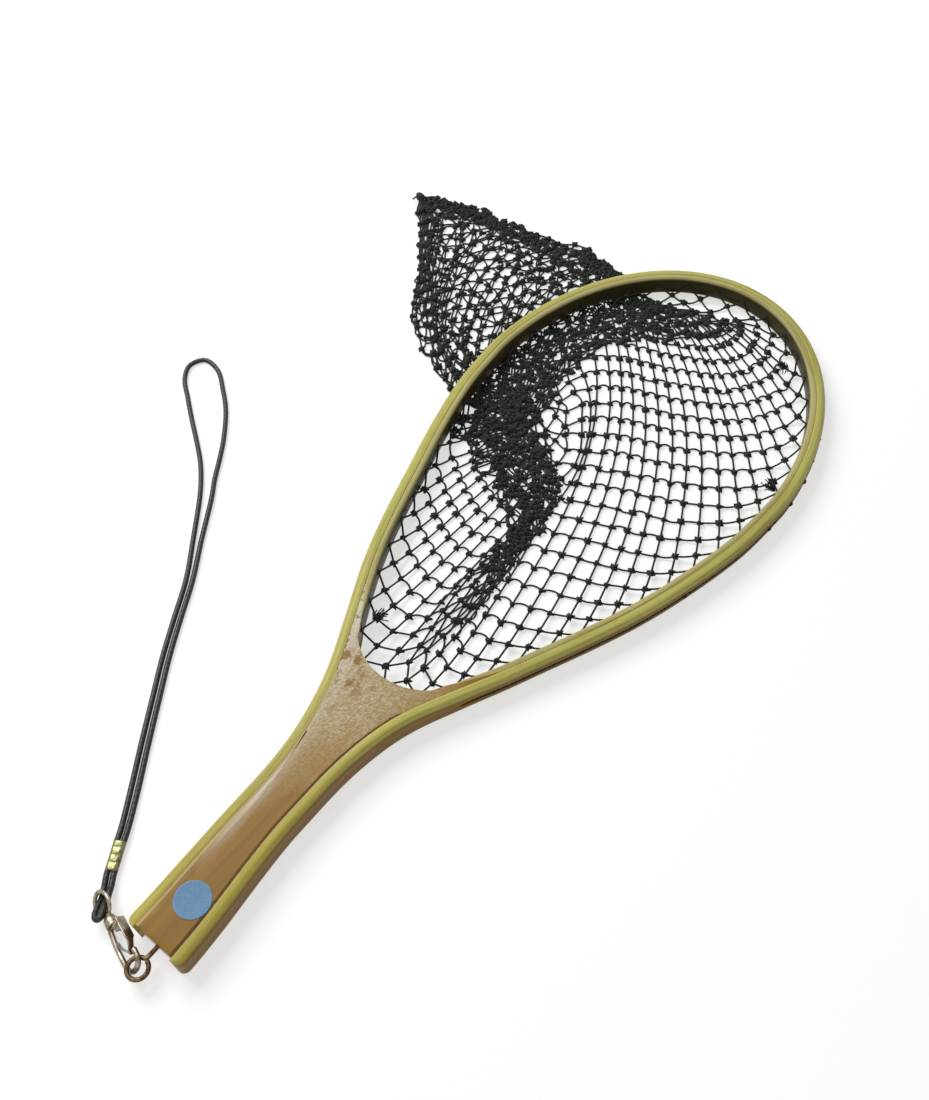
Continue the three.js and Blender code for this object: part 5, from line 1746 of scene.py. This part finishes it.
class NET_OT_lacing(bpy.types.Operator):
    """Line in the groove with a turn of twine at each mesh, larger hitches and frayed ends"""
    bl_idname = "landing_net.lacing"
    bl_label = "Lacing"

    def execute(self, context):
        settings = context.scene.net_bag
        finish = laid_twine("lacing_twine", settings.dark, settings.light, 0.0026)
        rows = np.where(OUTLINE[:, 0] >= LACING_START_X + LACING_LEAD)[0]
        plan = OUTLINE[rows] + INWARD[rows] * (LACING_D / 2 - LACING_PROUD)
        path = np.column_stack([plan, np.full(len(plan), MID_Z)])
        pieces = [tube("lacing_run", path, LACING_D / 2, sides=8)]
        far = along(path)
        rng = np.random.default_rng(11)
        for k in range(RIM_MESHES):
            place = far[-1] * (k + 0.5) / RIM_MESHES
            pieces.append(self.turn(path, far, place, TURN_R, TURN_WIRE, rng))
        for hitch in HITCHES:
            place = far[int(np.argmin(np.linalg.norm(path[:, :2] - hitch, axis=1)))]
            for shift, ring in HITCH_TURNS:
                pieces.append(self.turn(path, far, place + shift, ring, HITCH_WIRE, rng))
        for root, way in FRAYED:
            for k in range(FRAYED_THREADS):
                tip = np.array(root) + np.array(way) * rng.uniform(*FRAYED_LONG)
                tip += rng.normal(0, FRAYED_SPREAD, 3)
                tip[2] = max(tip[2], FRAYED_LOW)
                middle = (np.array(root) + tip) / 2 + rng.normal(0, FRAYED_BEND, 3)
                pieces.append(tube("frayed_end", catmull([root, middle, tip], 4), FRAYED_R, sides=5))
        dress(joined("lacing_line_twine", pieces), "net", "twine", finish, "lacing_line")
        return {"FINISHED"}

    def turn(self, path, far, place, ring, wire, rng):
        """One turn of twine round the line, leaning a little."""
        middle, ahead = [np.array([np.interp(spot, far, path[:, k]) for k in range(3)])
                         for spot in (place, place + 1)]
        ahead -= middle
        ahead /= np.linalg.norm(ahead)
        deselect()
        bpy.ops.mesh.primitive_torus_add(major_segments=12, minor_segments=6, major_radius=ring * MM,
                                         minor_radius=wire * MM)
        piece = named("lacing_turn")
        lean = Vector(ahead) + Vector((0, 0, float(rng.uniform(-TURN_LEAN, TURN_LEAN))))
        turn = lean.to_track_quat("Z", "Y").to_matrix().to_4x4()
        piece.data.transform(Matrix.Translation(Vector(middle) * MM) @ turn)
        bpy.ops.object.shade_smooth()
        return piece


# Metal fittings
class NET_OT_screw_eye(bpy.types.Operator):
    """Bent wire eye screwed into the butt"""
    bl_idname = "landing_net.screw_eye"
    bl_label = "Screw eye"

    def execute(self, context):
        metal = context.scene.net_metal
        ring = EYE_INNER + EYE_WIRE
        turn = np.radians(np.linspace(*EYE_BEND, 60))
        loop = np.stack([EYE_X + ring * np.cos(turn), EYE_Y + ring * np.sin(turn)], axis=1)
        neck = EYE_X + ring
        lead = [(CORE_BUTT_X + EYE_SHANK_IN, EYE_Y), (CORE_BUTT_X, EYE_Y)]
        lead += [(neck + far, EYE_Y + side) for far, side in EYE_NECK]
        plan = np.vstack([catmull(np.vstack([lead, loop[:1]]), 10)[:-1], loop])
        path = np.column_stack([plan, np.full(len(plan), MID_Z)])
        piece = tube("screw_eye_wire", path, EYE_WIRE, sides=14)
        finish = worn_metal("stained_steel", metal.steel, metal.steel_dull, 0.4, 0.5)
        dress(piece, "net", "dark_steel", finish, "screw_eye")
        return {"FINISHED"}


class NET_OT_snap(bpy.types.Operator):
    """Swivel snap: hook with barrel, sprung gate on its pin, washer and swivel eye"""
    bl_idname = "landing_net.snap"
    bl_label = "Swivel snap"

    def execute(self, context):
        metal = context.scene.net_metal
        self.place = snap_frame()
        nickel = worn_metal("worn_nickel", metal.nickel, metal.nickel_dull, 0.3, 0.52)
        spring = worn_metal("spring_leaf", tint(170, 172, 174), tint(120, 112, 102), 0.3, 0.55)
        dress(self.hook(), "snap", "nickel", nickel, "snap_body")
        dress(self.gate(), "gate", "nickel", nickel, "snap_gate")
        dress(self.pin(), "snap", "nickel", nickel, "gate_pin")
        leaf, root, tip = self.spring()
        dress(leaf, None, "spring_steel", spring, "gate_spring")
        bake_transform(leaf)
        dress(self.washer(), "snap", "nickel", nickel, "swivel_washer")
        dress(self.eye(), "swivel", "nickel", nickel, "swivel_eye")
        return {"FINISHED"}

    def set_down(self, piece):
        """Takes a piece from the snap's own directions to its place in the frame."""
        piece.data.transform(self.place)
        return piece

    def hook(self):
        """Bent wire, the barrel for the post, and the lug for the pin."""
        bend = [(HOOK_BEND * (1 + math.cos(a)), HOOK_BEND * math.sin(a), 0.0)
                for a in np.linspace(math.pi / 2, math.pi * 1.5, 30)]
        tail = [(BACK_STRAIGHT_X, -HOOK_BEND, 0.0), (BACK_RISE_X, BACK_RISE - HOOK_BEND, 0.0),
                (BARREL_START + INTO_BARREL, HOOK_WIRE - INTO_BARREL - BARREL_R, 0.0)]
        route = [(NOSE_END, HOOK_BEND, 0.0), (NOSE_END - NOSE_STRAIGHT, HOOK_BEND, 0.0)] + bend
        path = np.vstack([np.array(route), catmull([bend[-1]] + tail, 10)[1:]])
        start = BARREL_START
        end = BARREL_END
        rim = BARREL_R
        bore = POST_R + BORE_PLAY
        low = rim - BARREL_LIP
        near = rim - LIP_MIDDLE
        deep = rim - BARREL_GROOVE_DEEP
        groove = [(start + far, r) for far, r in zip(BARREL_GROOVE, (rim, deep, deep, rim))]
        barrel = [(start, bore), (start, low), (start + LIP_MIDDLE, near), (start + BARREL_LIP, rim), *groove,
                  (end - BARREL_LIP, rim), (end - LIP_MIDDLE, near), (end, low), (end, bore), (start, bore)]
        pieces = [tube("hook_wire", spaced(path, 90), HOOK_WIRE, sides=14), turned("hook_barrel", barrel)]
        pieces.append(soft_block("hook_lug", (PIN_X - LUG_BACK, rim - INTO_BARREL, -LUG_HALF),
                                 (start + INTO_BARREL, LUG_TOP, LUG_HALF), LUG_ROUND))
        return self.set_down(joined("snap_hook", pieces))

    def gate(self):
        """Bent strip with a ribbed thumb pad, a narrow arm and a knob under the nose."""
        rows = catmull(GATE_ROWS, 5)
        x = rows[:, 0]
        half_rib = RIB_PITCH / 2
        ribs = RIB_DEEP * (np.abs(((x - PAD_FROM) % RIB_PITCH) - half_rib) / half_rib)
        ribs = ribs * ((x > PAD_FROM) & (x < PAD_TO))
        rings = []
        for (x, y, thin, wide), rib in zip(rows, ribs):
            ring = []
            for turn in circle(GATE_SIDES):
                a = math.copysign(abs(math.cos(turn)) ** GATE_SQUARE[0], math.cos(turn)) * wide
                b = math.copysign(abs(math.sin(turn)) ** GATE_SQUARE[1], math.sin(turn)) * thin
                ring.append((x, y + b - (rib if b > 0 else 0.0), a))
            rings.append(ring)
        girth = np.arange(GATE_SIDES + 1) * GATE_CHART_STEP
        pieces = [closed_skin("gate_strip", rings, along(rows[:, :2]), girth, smooth_angle=45)]
        for low, high in ((-CHEEK_OUT, -CHEEK_IN), (CHEEK_IN, CHEEK_OUT)):
            pieces.append(soft_block("gate_cheek", (PIN_X - CHEEK_HALF, CHEEK_LOW, low),
                                     (PIN_X + CHEEK_HALF, CHEEK_HIGH, high), CHEEK_ROUND))
        return self.set_down(joined("snap_gate_plate", pieces))

    def pin(self):
        """Pin through lug and cheeks, with a low head at each end."""
        end = CHEEK_OUT + PIN_HEAD_THICK
        seat = end - PIN_HEAD_THICK
        half = [(seat, PIN_R - PIN_PLAY), (seat, PIN_HEAD_R), (end, PIN_HEAD_R)]
        half += [(end + far, radius) for far, radius in PIN_DOME]
        profile = [(-x, radius) for x, radius in half[::-1]] + half
        upright = Matrix.Translation(Vector((PIN_X, PIN_Y, 0.0)) * MM) @ Matrix.Rotation(-math.pi / 2, 4, "Y")
        return self.set_down(turned("gate_pin_rivet", profile, upright, sides=20))

    def spring(self):
        """Thin bowed leaf from its foot on the hook to its tip under the gate, with the places of the foot
        and the tip.
        """
        foot = np.array([BACK_RISE_X, BACK_RISE - HOOK_BEND + HOOK_WIRE + LEAF_OFF])
        end = np.array([NOSE_END + LEAF_PAST, HOOK_BEND - HOOK_WIRE - SEAT_GAP - GATE_PLATE - LEAF_OFF])
        bow = np.array([(foot[0] + end[0]) / 2, foot[1]])
        t = np.linspace(0, 1, 24)[:, None]
        line = (1 - t) ** 2 * foot + 2 * t * (1 - t) * bow + t ** 2 * end
        rings = [[(*(p + n * a), b) for a, b in LEAF_SECTION] for p, n in zip(line, inward(line))]
        leaf = self.set_down(closed_skin("gate_spring_leaf", rings, along(line), girth_of(LEAF_SECTION)))
        root, tip = [tuple(self.place @ Vector((*p * MM, 0.0))) for p in (foot, end)]
        return leaf, root, tip

    def washer(self):
        """Flat ring between the barrel and the collar."""
        start = BARREL_END + SEAT_GAP
        end = start + WASHER_THICK
        hole = POST_R + BORE_PLAY
        rim = BARREL_R - WASHER_THICK
        low = rim - WASHER_EDGE_DEEP
        profile = [(start, hole), (start, low), (start + WASHER_EDGE_LONG, rim),
                   (end - WASHER_EDGE_LONG, rim), (end, low), (end, hole), (start, hole)]
        return self.set_down(turned("swivel_washer_ring", profile))

    def eye(self):
        """Riveted post, collar and the oval wire eye."""
        seat = BARREL_START - SEAT_GAP
        head = seat - RIVET_THICK
        nose = COLLAR_X + COLLAR_LONG
        profile = [(head + far, RIVET_R - less) for far, less in RIVET_DOME]
        profile += [(seat, RIVET_R), (seat, POST_R), (COLLAR_X, POST_R)]
        profile += [(COLLAR_X + far, COLLAR_R - less) for far, less in COLLAR_FOOT]
        profile += [(nose, COLLAR_NOSE_R)]
        profile += [(nose + far, radius) for far, radius in COLLAR_DOME]
        post = turned("swivel_post", profile, sides=28)
        ring = circle(LOOP_WIRE_SIDES)[:, None]
        rings = []
        for turn in circle(LOOP_SIDES):
            out = np.array([math.cos(turn), math.sin(turn), 0.0])
            wire = LOOP_WIRE * (np.cos(ring) * out + np.sin(ring) * np.array([0.0, 0.0, 1.0]))
            rings.append((LOOP_R * out + wire) * [LOOP_STRETCH, 1.0, 1.0] + [LOOP_X, 0.0, 0.0])
        far = round_girth(LOOP_R, LOOP_SIDES)
        girth = np.arange(LOOP_WIRE_SIDES + 1) * LOOP_CHART_STEP
        loop = closed_skin("swivel_loop", rings, far, girth, round_closed=True, smooth_angle=60)
        return self.set_down(joined("swivel_eye_wire", [post, loop]))


# Paper dot
class NET_OT_dot(bpy.types.Operator):
    """Plain round paper dot stuck on the handle"""
    bl_idname = "landing_net.dot"
    bl_label = "Paper dot"

    def execute(self, context):
        settings = context.scene.net_lanyard
        turn = circle(DOT_SIDES)
        curl = DOT_CURL * (1 + np.sin(turn * 2 + 0.7))
        rings = []
        for radius, z in DOT_ROWS:
            lift = curl * (radius / DOT_R) ** DOT_CURL_LATE
            rings.append(np.stack([DOT_AT[0] + radius * np.cos(turn), DOT_AT[1] + radius * np.sin(turn),
                                   HANDLE_THICK + z + lift], axis=1))
        piece = closed_skin("paper_dot", rings, np.arange(len(DOT_ROWS)), np.arange(DOT_SIDES + 1))
        finish = dot_paper("blue_paper", settings.dot, settings.dot_pale)
        dress(piece, "net", "blue_paper", finish, "dot_sticker")
        return {"FINISHED"}


# Panel and registering
class NET_PT_panel(bpy.types.Panel):
    """Buttons for the pieces of the landing net"""
    bl_idname = "NET_PT_panel"
    bl_label = "Landing net"
    bl_space_type = "VIEW_3D"
    bl_region_type = "UI"
    bl_category = "Landing Net"

    def draw(self, context):
        for step in STEPS:
            self.layout.operator(step.bl_idname)


SETTINGS = {"net_wood": NetWoodSettings, "net_bag": NetBagSettings, "net_metal": NetMetalSettings,
            "net_lanyard": NetLanyardSettings, "net_stage": NetStageSettings}
STEPS = (NET_OT_stage, NET_OT_lanyard, NET_OT_outer_bow, NET_OT_inner_bow, NET_OT_handle_core, NET_OT_bag,
         NET_OT_lacing, NET_OT_screw_eye, NET_OT_snap, NET_OT_dot)


def register():
    for kind in (*SETTINGS.values(), *STEPS, NET_PT_panel):
        bpy.utils.register_class(kind)
    for name, kind in SETTINGS.items():
        setattr(bpy.types.Scene, name, bpy.props.PointerProperty(type=kind))


def unregister():
    for name in SETTINGS:
        delattr(bpy.types.Scene, name)
    for kind in reversed((*SETTINGS.values(), *STEPS, NET_PT_panel)):
        bpy.utils.unregister_class(kind)


def main():
    register()
    deselect()
    bpy.ops.landing_net.stage()
    bpy.ops.landing_net.lanyard()
    bpy.ops.landing_net.outer_bow()
    bpy.ops.landing_net.inner_bow()
    bpy.ops.landing_net.handle_core()
    bpy.ops.landing_net.bag()
    bpy.ops.landing_net.lacing()
    bpy.ops.landing_net.screw_eye()
    bpy.ops.landing_net.snap()
    bpy.ops.landing_net.dot()


if __name__ == "__main__":
    main()
